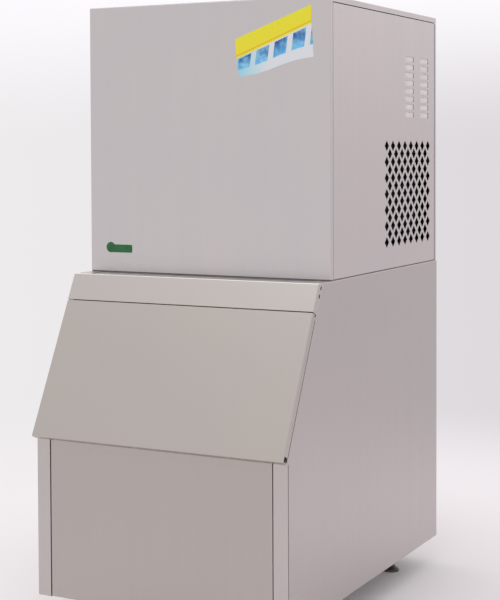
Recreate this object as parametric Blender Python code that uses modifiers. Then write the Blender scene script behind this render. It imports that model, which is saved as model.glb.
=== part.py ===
# Air-cooled ice machine: a sheet steel head that makes the ice, standing on an insulated bin.
# +Z is up, the front faces -Y, and the origin is on the floor under the middle of the whole machine.

from math import atan2, cos, hypot, pi, radians, sin

import bmesh
import bpy
from mathutils import Matrix, Vector

# Sheet metal
SHEET = 0.0012
BEND_RADIUS = 0.002
BEND_STEPS = 2
SEAM = 0.0015
FIT = 0.0003
TINY = 0.00001

# Head casing
HEAD_WIDTH = 0.654
HEAD_DEPTH = 0.687
HEAD_HEIGHT = 0.6495
FRONT_FLANGE = 0.012
BACK_FLANGE = 0.012
SIDE_FLANGE = 0.014
SIDE_SEAM = 0.0025
TOP_BAND = 0.0135
BASE_WALL = 0.030

# Bin casing
BIN_SIDE_STEP = 0.002
BIN_HEIGHT = 0.750
BIN_REACH = 0.231
SLOPE_TOP_REACH = 0.049
SLOPE_FOOT_HEIGHT = 0.385
POST_WIDTH = 0.0357
POST_SEAM = 0.002
PANEL_FLANGE = 0.020
BASE_FLANGE = 0.025
TOP_FRAME_INSET = 0.004
SEAT_GAP = 0.0016
SEAT_GASKET_WIDTH = 0.015
SEAT_GASKET_INSET = 0.006

# Liner and insulation
LINER_SHEET = 0.001
LINER_SIDE_WALL = 0.060
LINER_BACK_WALL = 0.060
LINER_FRONT_WALL = 0.050
LINER_FLOOR_WALL = 0.062
FLOOR_FALL = 0.012
FOAM_GAP = 0.0009
SILL_HEIGHT = 0.352
OPENING_TOP = 0.102
OPENING_SILL_MARGIN = 0.0315
THROAT_FRONT = 0.024

# Lid and fixed strip, measured along the slope and out from it
LID_DEPTH = 0.0198
STRIP_LENGTH = 0.077
LID_SEAM = 0.0022
LID_OVERHANG = 0.0132
LID_RIM_GAP = 0.0035
LID_CORNER_CUT = (0.0055, 0.0055)
HEM_NOTCH = 0.015
SLIT_PLACES = (0.0, 0.020)
SLIT_LENGTH = 0.009
SLIT_FROM = 0.002
SLIT_HEIGHT = 0.005
HINGE_BELOW_TOP = 0.009
HINGE_OUT = 0.0135
PIN_RADIUS = 0.0025
PIN_CLEARANCE = 0.0004
BRACKET_PLATE = 0.003
BRACKET_HEAD = 0.005
BRACKET_LEAN = 0.014
BRACKET_FOOT = 0.016
BRACKET_INSET = 0.006
FRAME_PLATE = 0.003
FRAME_BORDER = 0.034
GASKET_WIDTH = 0.012
GASKET_HEIGHT = 0.0048
INNER_PANEL_INSET = 0.012
INNER_PANEL_TOP = 0.010
INNER_PANEL_FOOT = 0.010

# Feet
FOOT_HEIGHT = 0.072
FOOT_INSET_SIDE = 0.080
FOOT_INSET_FRONT = 0.080
FOOT_INSET_BACK = 0.1335
FOOT_PAD_RADIUS = 0.022
FOOT_PAD_HEIGHT = 0.006
FOOT_CONE_HEIGHT = 0.026
FOOT_NECK_RADIUS = 0.009
STEM_RADIUS = 0.006
STEM_IN_BUSH = 0.018
LOCKNUT_RADIUS = 0.011
LOCKNUT_HEIGHT = 0.008
BUSH_RADIUS = 0.012
BUSH_HEIGHT = 0.022

# Openings of the right head panel
DIAMOND_PITCH = 0.0410
DIAMOND_ROW = 0.0200
DIAMOND_LENGTH = 0.0280
DIAMOND_HEIGHT = 0.0272
DIAMOND_COLUMNS = 8
DIAMOND_TOP_MARGIN = 0.070
DIAMOND_BACK = 0.0639
DIAMOND_LOW = 0.0668
LOUVRE_LENGTH = 0.0572
LOUVRE_HEIGHT = 0.0132
LOUVRE_DEPTH = 0.006
LOUVRE_PITCH = 0.0203
LOUVRE_ROWS = 8
LOUVRE_BACKS = (0.0611, 0.1670)
LOUVRE_DROP = 0.2694
VENT_LENGTH = 0.110
VENT_HEIGHT = 0.008
VENT_PITCH = 0.022
VENT_ROWS = 6
VENT_SIDE = 0.130
VENT_LOW = 0.090

# Ice making section
PARTITION_FRONT = 0.318
PARTITION_THICKNESS = 0.016
DROP_SIDE_GAP = 0.137
DROP_FRONT = 0.045
DROP_BACK = 0.150
CHUTE_SHEET = 0.0015
CHUTE_RISE = 0.112
CHUTE_DIP = 0.016
CHUTE_FLARE = 0.045
TROUGH_SIDE_GAP = 0.037
TROUGH_FRONT = 0.204
TROUGH_HEIGHT = 0.118
TROUGH_WALL = 0.003
EVAPORATOR_SIDE_GAP = 0.122
EVAPORATOR_LOW = 0.190
EVAPORATOR_HEADROOM = 0.073
EVAPORATOR_DEPTH = 0.022
EVAPORATOR_BACK = 0.284
CELL_COLUMNS = 8
CELL_ROWS = 8
CELL_RIB = 0.004
CELL_DEPTH = 0.018
SUPPORT_THICKNESS = 0.010
SUPPORT_FRONT = 0.226
SUPPORT_MARGIN = 0.030
COIL_RADIUS = 0.005
COIL_RUNS = 6
COIL_INSET = 0.030
DISTRIBUTOR_RADIUS = 0.010
DISTRIBUTOR_RISE = 0.014
CURTAIN_SHEET = 0.002
CURTAIN_FRONT = 0.240
CURTAIN_OVERHANG = 0.035
CURTAIN_RIB = 0.006
CURTAIN_PIN_RADIUS = 0.003
CURTAIN_PIN_RISE = 0.010
PUMP_INSET = 0.036
PUMP_RADIUS = 0.030
PUMP_HEIGHT = 0.075
PUMP_FLANGE = 0.004
PUMP_COLUMN_RADIUS = 0.009
PUMP_SHAFT_RADIUS = 0.003
IMPELLER_RADIUS = 0.019
IMPELLER_HEIGHT = 0.016
IMPELLER_FLOOR_GAP = 0.012
IMPELLER_VANES = 6
RISER_RADIUS = 0.007
VALVE_INSET = 0.028
VALVE_BLOCK = 0.022
EAR_SLOT_FROM = 0.3
EAR_SLOT_TO = 0.7
EAR_SLOT_RISE = 0.8
FLOAT_RADIUS = 0.019
FLOAT_REACH = 0.085
FLOAT_DROP_SHARE = 2.4
FLOAT_ARM_RADIUS = 0.002

# Cooling section
COMPRESSOR_GAP = 0.072
COMPRESSOR_RADIUS = 0.085
COMPRESSOR_HEIGHT = 0.205
COMPRESSOR_DOME_SHARE = 0.45
COMPRESSOR_LOWER_SHARES = (0.9, 0.7)
COMPRESSOR_PLATE = 0.004
COMPRESSOR_PLATE_HALF = 0.095
MOUNT_RADIUS = 0.012
MOUNT_HEIGHT = 0.018
MOUNT_TAPER = 0.8
CONDENSER_SIDE_GAP = 0.027
CONDENSER_THICKNESS = 0.038
CONDENSER_FRONT_GAP = 0.018
CONDENSER_BACK_GAP = 0.0495
CONDENSER_LOW = 0.045
CONDENSER_HIGH = 0.345
FIN_COUNT = 14
FIN_SLIT = 0.004
FIN_SLIT_DEPTH = 0.006
HAIRPIN_COUNT = 4
HAIRPIN_RADIUS = 0.004
HAIRPIN_OUT = 0.013
HAIRPIN_BEND_SHARE = 0.6
SHROUD_DEPTH = 0.030
FAN_SHARE = 0.8
FAN_TIP_GAP = 0.008
FAN_HUB_RADIUS = 0.022
FAN_HUB_LENGTH = 0.026
FAN_BLADES = 5
FAN_BLADE_RISE = 0.020
FAN_BLADE_SHEET = 0.0016
FAN_BLADE_SPREAD = 27
FAN_BLADE_FLARE = 4
FAN_BLADE_WASHOUT = 0.25
FAN_ROOT_SHARE = 0.8
FAN_SHAFT_RADIUS = 0.004
FAN_SHAFT_LENGTH = 0.022
MOTOR_RADIUS = 0.038
MOTOR_LENGTH = 0.070
MOTOR_GAP = 0.012
MOTOR_BRACKET_SHEET = 0.003
MOTOR_BRACKET_HALF = 0.070
CONTROL_BOX_DEPTH = 0.085
CONTROL_BOX_HEIGHT = 0.200
CONTROL_BOX_PIPE_GAP = 0.070
CONTROL_BOX_SIDE_GAP = 0.027
CONTROL_BOX_HEADROOM = 0.063
PIPE_RADIUS = 0.0045
SUCTION_RADIUS = 0.006
DRIER_RADIUS = 0.013
DRIER_LENGTH = 0.110

# Services at the back
DRAIN_RADIUS = 0.013
DRAIN_WALL = 0.0025
DRAIN_X = -0.180
BACK_FITTING = 0.022
GLAND_Z = 0.180
GLAND_RADIUS = 0.010
GLAND_REACH_SHARE = 0.8
GLAND_NUT_SHARE = 1.3
GLAND_TIP_SHARE = 0.9

# Finishes: colour, roughness, metallic
FINISHES = {
    "brushed_steel": ((0.60, 0.58, 0.57), 0.35, 0.9),
    "liner_steel": ((0.66, 0.66, 0.65), 0.30, 0.9),
    "foam": ((0.86, 0.80, 0.62), 0.9, 0.0),
    "black_rubber": ((0.03, 0.03, 0.03), 0.8, 0.0),
    "foot_steel": ((0.12, 0.11, 0.10), 0.35, 0.8),
    "white_plastic": ((0.82, 0.83, 0.82), 0.45, 0.0),
    "grey_plastic": ((0.30, 0.31, 0.32), 0.5, 0.0),
    "nickel_plate": ((0.72, 0.71, 0.67), 0.25, 1.0),
    "copper": ((0.72, 0.36, 0.22), 0.3, 1.0),
    "black_enamel": ((0.025, 0.025, 0.028), 0.35, 0.2),
    "aluminium": ((0.62, 0.63, 0.64), 0.4, 1.0),
}

# Sizes that follow from the ones above
BIN_WIDTH = HEAD_WIDTH + 2 * BIN_SIDE_STEP
BACK_Y = (HEAD_DEPTH + BIN_REACH + LID_DEPTH + BACK_FITTING) / 2
SLOPE_ANGLE = atan2(BIN_REACH - SLOPE_TOP_REACH, BIN_HEIGHT - SLOPE_FOOT_HEIGHT)
SLOPE_LENGTH = hypot(BIN_REACH - SLOPE_TOP_REACH, BIN_HEIGHT - SLOPE_FOOT_HEIGHT)
OPENING_FOOT = SLOPE_LENGTH - OPENING_SILL_MARGIN
LID_TOP = STRIP_LENGTH + LID_SEAM
LID_FOOT = SLOPE_LENGTH + LID_OVERHANG
HINGE_DOWN = LID_TOP + HINGE_BELOW_TOP
HEAD_HALF = HEAD_WIDTH / 2
BIN_HALF = BIN_WIDTH / 2
INNER_HALF = HEAD_HALF - SIDE_FLANGE - FIT
SIDE_TOP = HEAD_HEIGHT - TOP_BAND - SEAM
SIDE_BACK = HEAD_DEPTH - BACK_FLANGE - SEAM
FLOOR_TOP = SHEET + FIT
PARTITION_BACK = PARTITION_FRONT + PARTITION_THICKNESS
LOUVRE_LOW = HEAD_HEIGHT - LOUVRE_DROP
DIAMOND_ROWS = 1 + int((LOUVRE_LOW - DIAMOND_TOP_MARGIN - DIAMOND_LOW) / DIAMOND_ROW)
DROP_HALF_WIDTH = HEAD_HALF - DROP_SIDE_GAP
TROUGH_HALF_LENGTH = HEAD_HALF - TROUGH_SIDE_GAP
EVAPORATOR_HALF_WIDTH = HEAD_HALF - EVAPORATOR_SIDE_GAP
EVAPORATOR_HEIGHT = HEAD_HEIGHT - EVAPORATOR_HEADROOM - EVAPORATOR_LOW
CURTAIN_DROP = EVAPORATOR_HEIGHT + CURTAIN_OVERHANG
PUMP_X = TROUGH_HALF_LENGTH - PUMP_INSET
VALVE_X = VALVE_INSET - TROUGH_HALF_LENGTH
CONDENSER_OUT = HEAD_HALF - CONDENSER_SIDE_GAP
CONDENSER_FRONT = PARTITION_BACK + CONDENSER_FRONT_GAP
CONDENSER_BACK = SIDE_BACK - CONDENSER_BACK_GAP
FAN_RADIUS = FAN_SHARE * (CONDENSER_BACK - CONDENSER_FRONT) / 2
CONTROL_BOX_LOW = HEAD_HEIGHT - CONTROL_BOX_HEADROOM - CONTROL_BOX_HEIGHT
LINER_HALF = BIN_HALF - LINER_SIDE_WALL
FRAME_TOP = BIN_HEIGHT - SHEET - FIT
FOAM_TOP = FRAME_TOP - SHEET - FIT
FAN_Y = (CONDENSER_FRONT + CONDENSER_BACK) / 2
FAN_Z = (CONDENSER_LOW + CONDENSER_HIGH) / 2
SHROUD_OUT = CONDENSER_OUT - CONDENSER_THICKNESS - FIT
SHROUD_IN = SHROUD_OUT - SHROUD_DEPTH
FAN_X = SHROUD_IN + FAN_BLADE_RISE / 2
MOTOR_FACE = FAN_X - FAN_HUB_LENGTH / 2 - MOTOR_GAP
COMPRESSOR_X = MOTOR_FACE - MOTOR_LENGTH - COMPRESSOR_GAP - COMPRESSOR_PLATE_HALF
COMPRESSOR_Y = (PARTITION_BACK + SIDE_BACK) / 2

UP = Vector((0, 0, 1))
DOWN = Vector((0, 0, -1))
FRONT = Vector((0, -1, 0))
BACK = Vector((0, 1, 0))
LEFT = Vector((-1, 0, 0))
RIGHT = Vector((1, 0, 0))
SIDES = {"left": -1, "right": 1}


# Scene and placing


def clear_scene():
    for old in list(bpy.data.objects):
        bpy.data.objects.remove(old, do_unlink=True)


def new_collection(name):
    made = bpy.data.collections.new(name)
    bpy.context.scene.collection.children.link(made)
    return made


def finish(name):
    """The Principled material of one finish."""
    if name in bpy.data.materials:
        return bpy.data.materials[name]
    color, roughness, metallic = FINISHES[name]
    made = bpy.data.materials.new(name)
    made.use_nodes = True
    shader = made.node_tree.nodes["Principled BSDF"]
    shader.inputs["Base Color"].default_value = (*color, 1)
    shader.inputs["Roughness"].default_value = roughness
    shader.inputs["Metallic"].default_value = metallic
    made.diffuse_color = (*color, 1)
    return made


def place_empty(name, location, parent=None, tilt=0.0):
    """An empty that carries pieces, turned by tilt about X."""
    made = bpy.data.objects.new(name, None)
    made.location = location
    made.rotation_euler = (tilt, 0, 0)
    made.parent = parent
    PARTS.objects.link(made)
    return made


def add_piece(name, mesh, finish_name, parent, location=(0, 0, 0), turn=(0, 0, 0)):
    """A named sub-part under its parent empty."""
    made = bpy.data.objects.new(name, mesh)
    made.parent = parent
    made.location = location
    made.rotation_euler = turn
    made.data.materials.clear()
    made.data.materials.append(finish(finish_name))
    PARTS.objects.link(made)
    return made


def add_guide(name, mesh, parent, location=(0, 0, 0), turn=(0, 0, 0)):
    """A hidden tool shape for a Boolean."""
    made = bpy.data.objects.new(name, mesh)
    made.parent = parent
    made.location = location
    made.rotation_euler = turn
    made.hide_render = True
    made.display_type = "WIRE"
    GUIDES.objects.link(made)
    return made


# Shapes


def block(low, high):
    """A box between two corners."""
    bm = bmesh.new()
    bmesh.ops.create_cube(bm, size=1)
    low, high = Vector(low), Vector(high)
    bmesh.ops.scale(bm, vec=high - low, verts=bm.verts)
    bmesh.ops.translate(bm, vec=(low + high) / 2, verts=bm.verts)
    return to_mesh(bm, "block")


def to_mesh(bm, name):
    mesh = bpy.data.meshes.new(name)
    bm.to_mesh(mesh)
    bm.free()
    return mesh


def rod(radius, start, end, sides=16, end_radius=None):
    """A cylinder or cone between two points."""
    start, end = Vector(start), Vector(end)
    run = end - start
    bm = bmesh.new()
    bmesh.ops.create_cone(
        bm,
        cap_ends=True,
        segments=sides,
        radius1=radius,
        radius2=radius if end_radius is None else end_radius,
        depth=run.length,
    )
    turn = UP.rotation_difference(run.normalized()).to_matrix().to_4x4()
    bm.transform(Matrix.Translation((start + end) / 2) @ turn)
    mesh = to_mesh(bm, "rod")
    mesh.shade_smooth()
    mesh.set_sharp_from_angle(angle=radians(40))
    return mesh


def plate(outlines, low, high, axis):
    """Flat outlines, later ones being holes or islands, made thick along one axis.

    Outline points are (y, z) for axis X, (x, z) for axis Y and (x, y) for axis Z.
    """
    curve = bpy.data.curves.new("outline", "CURVE")
    curve.dimensions = "2D"
    curve.fill_mode = "BOTH"
    curve.extrude = (high - low) / 2
    for outline in outlines:
        spline = curve.splines.new("POLY")
        spline.points.add(len(outline) - 1)
        spline.use_cyclic_u = True
        for point, (across, along) in zip(spline.points, outline):
            point.co = (across, along, 0, 1)
    middle = (low + high) / 2
    place = {
        "X": Matrix(((0, 0, 1, middle), (1, 0, 0, 0), (0, 1, 0, 0), (0, 0, 0, 1))),
        "Y": Matrix(((1, 0, 0, 0), (0, 0, -1, middle), (0, 1, 0, 0), (0, 0, 0, 1))),
        "Z": Matrix.Translation((0, 0, middle)),
    }[axis]
    mesh = curve_to_mesh(curve)
    mesh.transform(place)
    return mesh


def curve_to_mesh(curve):
    """The closed mesh of a curve, with its loose caps welded."""
    holder = bpy.data.objects.new("holder", curve)
    bpy.context.scene.collection.objects.link(holder)
    graph = bpy.context.evaluated_depsgraph_get()
    mesh = bpy.data.meshes.new_from_object(holder.evaluated_get(graph))
    bpy.data.objects.remove(holder, do_unlink=True)
    bm = bmesh.new()
    bm.from_mesh(mesh)
    bmesh.ops.remove_doubles(bm, verts=bm.verts, dist=TINY)
    bmesh.ops.recalc_face_normals(bm, faces=bm.faces)
    bm.to_mesh(mesh)
    bm.free()
    return mesh


def merge_flat(mesh):
    """Joins coplanar triangles into whole faces."""
    bm = bmesh.new()
    bm.from_mesh(mesh)
    bmesh.ops.dissolve_limit(bm, angle_limit=radians(0.5), verts=bm.verts, edges=bm.edges)
    bm.to_mesh(mesh)
    bm.free()
    return mesh


def opened(mesh, *directions):
    """The mesh without the faces that look in the given directions."""
    bm = bmesh.new()
    bm.from_mesh(mesh)
    bm.normal_update()
    gone = [face for face in bm.faces if any(face.normal.dot(way) > 0.999 for way in directions)]
    bmesh.ops.delete(bm, geom=gone, context="FACES")
    bm.to_mesh(mesh)
    bm.free()
    return mesh


def joined(*meshes):
    """Separate closed shapes held in one mesh."""
    bm = bmesh.new()
    for mesh in meshes:
        bm.from_mesh(mesh)
    return to_mesh(bm, "joined")


def rounded_path(points, radius, steps=4):
    """The points of a route whose corners are rounded to the radius."""
    points = [Vector(point) for point in points]
    route = [points[0]]
    for before, corner, after in zip(points, points[1:], points[2:]):
        way_in = (before - corner).normalized()
        way_out = (after - corner).normalized()
        half = way_in.angle(way_out) / 2
        run = radius / max(TINY, abs(sin(half) / cos(half)))
        middle = corner + (way_in + way_out).normalized() * (radius / sin(half))
        first = corner + way_in * run - middle
        last = corner + way_out * run - middle
        sweep = first.angle(last)
        for step in range(steps + 1):
            share = step / steps
            turn = first * sin((1 - share) * sweep) + last * sin(share * sweep)
            route.append(middle + turn / sin(sweep))
    route.append(points[-1])
    return route


def pipe(points, radius, resolution=2):
    """The mesh of a round pipe along a route."""
    curve = bpy.data.curves.new("route", "CURVE")
    curve.dimensions = "3D"
    curve.bevel_depth = radius
    curve.bevel_resolution = resolution
    curve.use_fill_caps = True
    spline = curve.splines.new("POLY")
    spline.points.add(len(points) - 1)
    for point, place in zip(spline.points, points):
        point.co = (*place, 1)
    mesh = curve_to_mesh(curve)
    mesh.shade_smooth()
    mesh.set_sharp_from_angle(angle=radians(50))
    return mesh


def profile_line(points):
    """An edge-only mesh of (radius, height) points for a Screw modifier."""
    mesh = bpy.data.meshes.new("profile")
    places = [(radius, 0, height) for radius, height in points]
    mesh.from_pydata(places, [(at, at + 1) for at in range(len(points) - 1)], [])
    return mesh


def offset_outline(points, distance):
    """The outline with every edge moved outwards; points run anticlockwise."""
    moved = []
    count = len(points)
    for at in range(count):
        before, here, after = (Vector(points[(at + step) % count]) for step in (-1, 0, 1))
        edge_in = (here - before).normalized()
        edge_out = (after - here).normalized()
        out_in = Vector((edge_in.y, -edge_in.x))
        out_out = Vector((edge_out.y, -edge_out.x))
        moved.append(tuple(here + (out_in + out_out) * distance / (1 + out_in.dot(out_out))))
    return moved


def rectangle(low_across, low_along, high_across, high_along):
    return [
        (low_across, low_along),
        (high_across, low_along),
        (high_across, high_along),
        (low_across, high_along),
    ]


def circle(across, along, radius, sides=16):
    return [
        (across + radius * cos(2 * pi * step / sides), along + radius * sin(2 * pi * step / sides))
        for step in range(sides)
    ]


# Modifiers


def bend_edges(piece, width=BEND_RADIUS, steps=BEND_STEPS):
    bevel = piece.modifiers.new("bends", "BEVEL")
    bevel.width = width
    bevel.segments = steps
    bevel.limit_method = "ANGLE"
    bevel.angle_limit = radians(30)


def thicken(piece, thickness=SHEET, inwards=True):
    solid = piece.modifiers.new("sheet", "SOLIDIFY")
    solid.thickness = thickness
    solid.offset = -1 if inwards else 1
    solid.use_even_offset = True


def combine(piece, tool, operation="DIFFERENCE"):
    boolean = piece.modifiers.new(tool.name, "BOOLEAN")
    boolean.operation = operation
    boolean.solver = "EXACT"
    boolean.object = tool


def spin(piece, steps=24):
    screw = piece.modifiers.new("turned", "SCREW")
    screw.steps = steps
    screw.render_steps = steps
    screw.use_merge_vertices = True
    screw.merge_threshold = TINY
    screw.use_smooth_shade = True


def tray(name, low, high, opening, parent, finish_name="brushed_steel", open_end=None):
    """A folded sheet tray: a box without the face that looks to the opening, nor the one at an open end."""
    ways = [opening] if open_end is None else [opening, open_end]
    piece = add_piece(name, opened(block(low, high), *ways), finish_name, parent)
    bend_edges(piece)
    thicken(piece)
    return piece


# Bin


def side_outline():
    """The bin's side profile as (y, z), from the back foot round by the front."""
    return [
        (HEAD_DEPTH, 0),
        (HEAD_DEPTH, BIN_HEIGHT),
        (-SLOPE_TOP_REACH, BIN_HEIGHT),
        (-BIN_REACH, SLOPE_FOOT_HEIGHT),
        (-BIN_REACH, 0),
    ]


def on_slope(down, out):
    """The bin's (y, z) of a point given down the slope from its top edge and out from it."""
    return (
        -SLOPE_TOP_REACH - down * sin(SLOPE_ANGLE) - out * cos(SLOPE_ANGLE),
        BIN_HEIGHT - down * cos(SLOPE_ANGLE) + out * sin(SLOPE_ANGLE),
    )


def slope_meets(y, out):
    """The height at which the slope, moved out by out, reaches y."""
    start_y, start_z = on_slope(0, out)
    return start_z - (start_y - y) * cos(SLOPE_ANGLE) / sin(SLOPE_ANGLE)


def bin_side_panel(name, side, parent):
    """One side with its folded front post, sloping rim and other flanges, all from one sheet."""
    inner, outer = sorted((side * (BIN_HALF - POST_WIDTH), side * BIN_HALF))
    mesh = merge_flat(plate([side_outline()], inner, outer, "X"))
    piece = add_piece(name, opened(mesh, LEFT * side), "brushed_steel", parent)
    bend_edges(piece)
    thicken(piece)
    return piece


def bin_front_panel(parent):
    half = BIN_HALF - POST_WIDTH - POST_SEAM
    low = (-half, -BIN_REACH, SEAM)
    high = (half, -BIN_REACH + PANEL_FLANGE, SLOPE_FOOT_HEIGHT)
    return tray("bin_front_panel", low, high, BACK, parent)


def bin_back_panel(parent):
    half = BIN_HALF - POST_WIDTH - FIT
    low = (-half, HEAD_DEPTH - PANEL_FLANGE, SEAM)
    high = (half, HEAD_DEPTH, FOAM_TOP)
    piece = tray("bin_back_panel", low, high, FRONT, parent)
    hole = rod(
        DRAIN_RADIUS + FIT,
        (DRAIN_X, low[1], drain_height()),
        (DRAIN_X, high[1] + SEAM, drain_height()),
    )
    combine(piece, add_guide("drain_hole_in_back", hole, parent))
    return piece


def foot_places():
    """Names and (x, y) of the four feet."""
    across = BIN_HALF - FOOT_INSET_SIDE
    along = {"front": FOOT_INSET_FRONT - BIN_REACH, "back": HEAD_DEPTH - FOOT_INSET_BACK}
    return {
        f"{end}_{side}": (sign * across, y) for end, y in along.items() for side, sign in SIDES.items()
    }


def bin_base_plate(parent):
    """The floor of the bin, a tray with four welded bushes for the feet."""
    half = BIN_HALF - POST_WIDTH - FIT
    low = (-half, PANEL_FLANGE - BIN_REACH + FIT, 0)
    high = (half, HEAD_DEPTH - PANEL_FLANGE - FIT, BASE_FLANGE)
    piece = tray("bin_base_plate", low, high, UP, parent)
    bushes = [rod(BUSH_RADIUS, (x, y, SHEET / 2), (x, y, BUSH_HEIGHT)) for x, y in foot_places().values()]
    bores = [
        rod(STEM_RADIUS + 2 * FIT, (x, y, -SEAM), (x, y, BUSH_HEIGHT + SEAM)) for x, y in foot_places().values()
    ]
    combine(piece, add_guide("foot_bushes", joined(*bushes), parent), "UNION")
    combine(piece, add_guide("foot_bores", joined(*bores), parent))
    return piece


def bin_top_frame(parent):
    """The ring under the side panels' top flanges, open over the bin."""
    half = BIN_HALF - SHEET - FOAM_GAP
    outer = rectangle(-half, TOP_FRAME_INSET - SLOPE_TOP_REACH, half, HEAD_DEPTH - PANEL_FLANGE)
    inner = rectangle(-LINER_HALF, THROAT_FRONT, LINER_HALF, HEAD_DEPTH - LINER_BACK_WALL)
    mesh = plate([outer, inner], FRAME_TOP - SHEET, FRAME_TOP, "Z")
    return add_piece("bin_top_frame", mesh, "brushed_steel", parent)


def liner_outline():
    """The inside of the bin as (y, z), anticlockwise; its slope and top edges are the openings."""
    back = HEAD_DEPTH - LINER_BACK_WALL
    front = LINER_FRONT_WALL - BIN_REACH
    return [
        (back, FOAM_TOP),
        (THROAT_FRONT, FOAM_TOP - LINER_SHEET),
        on_slope(OPENING_TOP, -SHEET - FIT),
        on_slope(OPENING_FOOT, -SHEET - FIT),
        (front, SILL_HEIGHT),
        (front, LINER_FLOOR_WALL + FLOOR_FALL),
        (back, LINER_FLOOR_WALL),
    ]


def bin_liner(parent):
    """The stainless tub that holds the ice, open to the slope and to the head."""
    mesh = merge_flat(plate([liner_outline()], -LINER_HALF, LINER_HALF, "X"))
    out_of_slope = Vector((0, -cos(SLOPE_ANGLE), sin(SLOPE_ANGLE)))
    piece = add_piece("bin_liner", opened(mesh, UP, out_of_slope), "liner_steel", parent)
    thicken(piece, LINER_SHEET, inwards=False)
    hole = rod(
        DRAIN_RADIUS + FIT,
        (DRAIN_X, HEAD_DEPTH - LINER_BACK_WALL - 2 * SEAM, drain_height()),
        (DRAIN_X, HEAD_DEPTH - LINER_BACK_WALL + 2 * SEAM, drain_height()),
    )
    combine(piece, add_guide("drain_hole_in_liner", hole, parent))
    return piece


def drain_height():
    return LINER_FLOOR_WALL + DRAIN_RADIUS + 2 * SEAM


def bin_insulation(parent):
    """The foam between the casing and the liner."""
    front = PANEL_FLANGE - BIN_REACH + FIT
    back = HEAD_DEPTH - PANEL_FLANGE - FIT
    low = BASE_FLANGE + FIT
    inset = SHEET + FOAM_GAP
    outline = [
        (back, low),
        (back, FOAM_TOP),
        (slope_at_height(FOAM_TOP, -inset), FOAM_TOP),
        (front, slope_meets(front, -inset)),
        (front, low),
    ]
    half = BIN_HALF - inset
    piece = add_piece("bin_insulation", plate([outline], -half, half, "X"), "foam", parent)
    inside = offset_outline(liner_outline(), LINER_SHEET + FOAM_GAP)
    tub_half = LINER_HALF + LINER_SHEET + FOAM_GAP
    combine(piece, add_guide("liner_space", plate([inside], -tub_half, tub_half, "X"), parent))
    back_wall = HEAD_DEPTH - LINER_BACK_WALL
    hole = rod(DRAIN_RADIUS + FIT, (DRAIN_X, back_wall, drain_height()), (DRAIN_X, back + SEAM, drain_height()))
    combine(piece, add_guide("drain_hole_in_foam", hole, parent))
    return piece


def slope_at_height(height, out):
    """The y at which the slope, moved out by out, reaches a height."""
    start_y, start_z = on_slope(0, out)
    return start_y - (start_z - height) * sin(SLOPE_ANGLE) / cos(SLOPE_ANGLE)


def bin_drain_pipe(parent):
    """A plain stub from the tub's lowest point through the back."""
    front = HEAD_DEPTH - LINER_BACK_WALL - SEAM
    back = HEAD_DEPTH + BACK_FITTING
    piece = add_piece(
        "bin_drain_pipe",
        rod(DRAIN_RADIUS, (DRAIN_X, front, drain_height()), (DRAIN_X, back, drain_height())),
        "white_plastic",
        parent,
    )
    bore = rod(
        DRAIN_RADIUS - DRAIN_WALL,
        (DRAIN_X, front - SEAM, drain_height()),
        (DRAIN_X, back + SEAM, drain_height()),
    )
    combine(piece, add_guide("drain_bore", bore, parent))
    return piece


def seat_gasket(parent):
    """The sealing ring between the bin's top and the head."""
    outer_inset = SEAT_GASKET_INSET
    inner_inset = outer_inset + SEAT_GASKET_WIDTH
    outer, inner = (
        rectangle(inset - HEAD_HALF, inset, HEAD_HALF - inset, HEAD_DEPTH - inset)
        for inset in (outer_inset, inner_inset)
    )
    mesh = plate([outer, inner], BIN_HEIGHT + FIT, BIN_HEIGHT + SEAT_GAP - FIT, "Z")
    return add_piece("seat_gasket", mesh, "black_rubber", parent)


def foot(name, x, y, parent):
    """A levelling foot, turned from one bar, with its locknut."""
    nut_top = FOOT_HEIGHT - FIT
    nut_low = nut_top - LOCKNUT_HEIGHT
    profile = [
        (0, FOOT_HEIGHT + STEM_IN_BUSH),
        (STEM_RADIUS, FOOT_HEIGHT + STEM_IN_BUSH),
        (STEM_RADIUS, nut_top),
        (LOCKNUT_RADIUS, nut_top),
        (LOCKNUT_RADIUS, nut_low),
        (STEM_RADIUS, nut_low),
        (STEM_RADIUS, FOOT_CONE_HEIGHT),
        (FOOT_NECK_RADIUS, FOOT_CONE_HEIGHT),
        (FOOT_NECK_RADIUS + SEAM, FOOT_CONE_HEIGHT / 2),
        (FOOT_PAD_RADIUS - SEAM, FOOT_PAD_HEIGHT),
        (FOOT_PAD_RADIUS, FOOT_PAD_HEIGHT - SEAM),
        (FOOT_PAD_RADIUS, 0),
        (0, 0),
    ]
    piece = add_piece(name, profile_line(profile), "foot_steel", parent, (x, y, -FOOT_HEIGHT))
    spin(piece, 16)
    return piece


# Sloping front: fixed strip, opening frame and lid


def slope_plate(outlines, low, high):
    """A plate whose outlines are (y, z) on the slope frame, along X."""
    return plate(outlines, low, high, "X")


def bin_front_strip(slope):
    """The fixed strip over the lid: its ledge, sloping face and end cheeks are one folded sheet."""
    rim = FIT
    ledge_rise = LID_DEPTH * sin(SLOPE_ANGLE) / cos(SLOPE_ANGLE)
    tip = rim + SHEET * sin(SLOPE_ANGLE)
    outline = [(-STRIP_LENGTH, rim), (-STRIP_LENGTH, LID_DEPTH), (-ledge_rise, LID_DEPTH), (-SEAM, tip)]
    mesh = opened(merge_flat(slope_plate([outline], -BIN_HALF, BIN_HALF)), DOWN)
    piece = add_piece("bin_front_strip", mesh, "brushed_steel", slope)
    bend_edges(piece, BEND_RADIUS / 2)
    thicken(piece)
    slits = [
        block(
            (side * BIN_HALF - 2 * SHEET, -ledge_rise - down - SLIT_LENGTH, SLIT_FROM),
            (side * BIN_HALF + 2 * SHEET, -ledge_rise - down, SLIT_FROM + SLIT_HEIGHT),
        )
        for side in SIDES.values()
        for down in SLIT_PLACES
    ]
    combine(piece, add_guide("strip_end_slits", joined(*slits), slope))
    return piece


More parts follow.
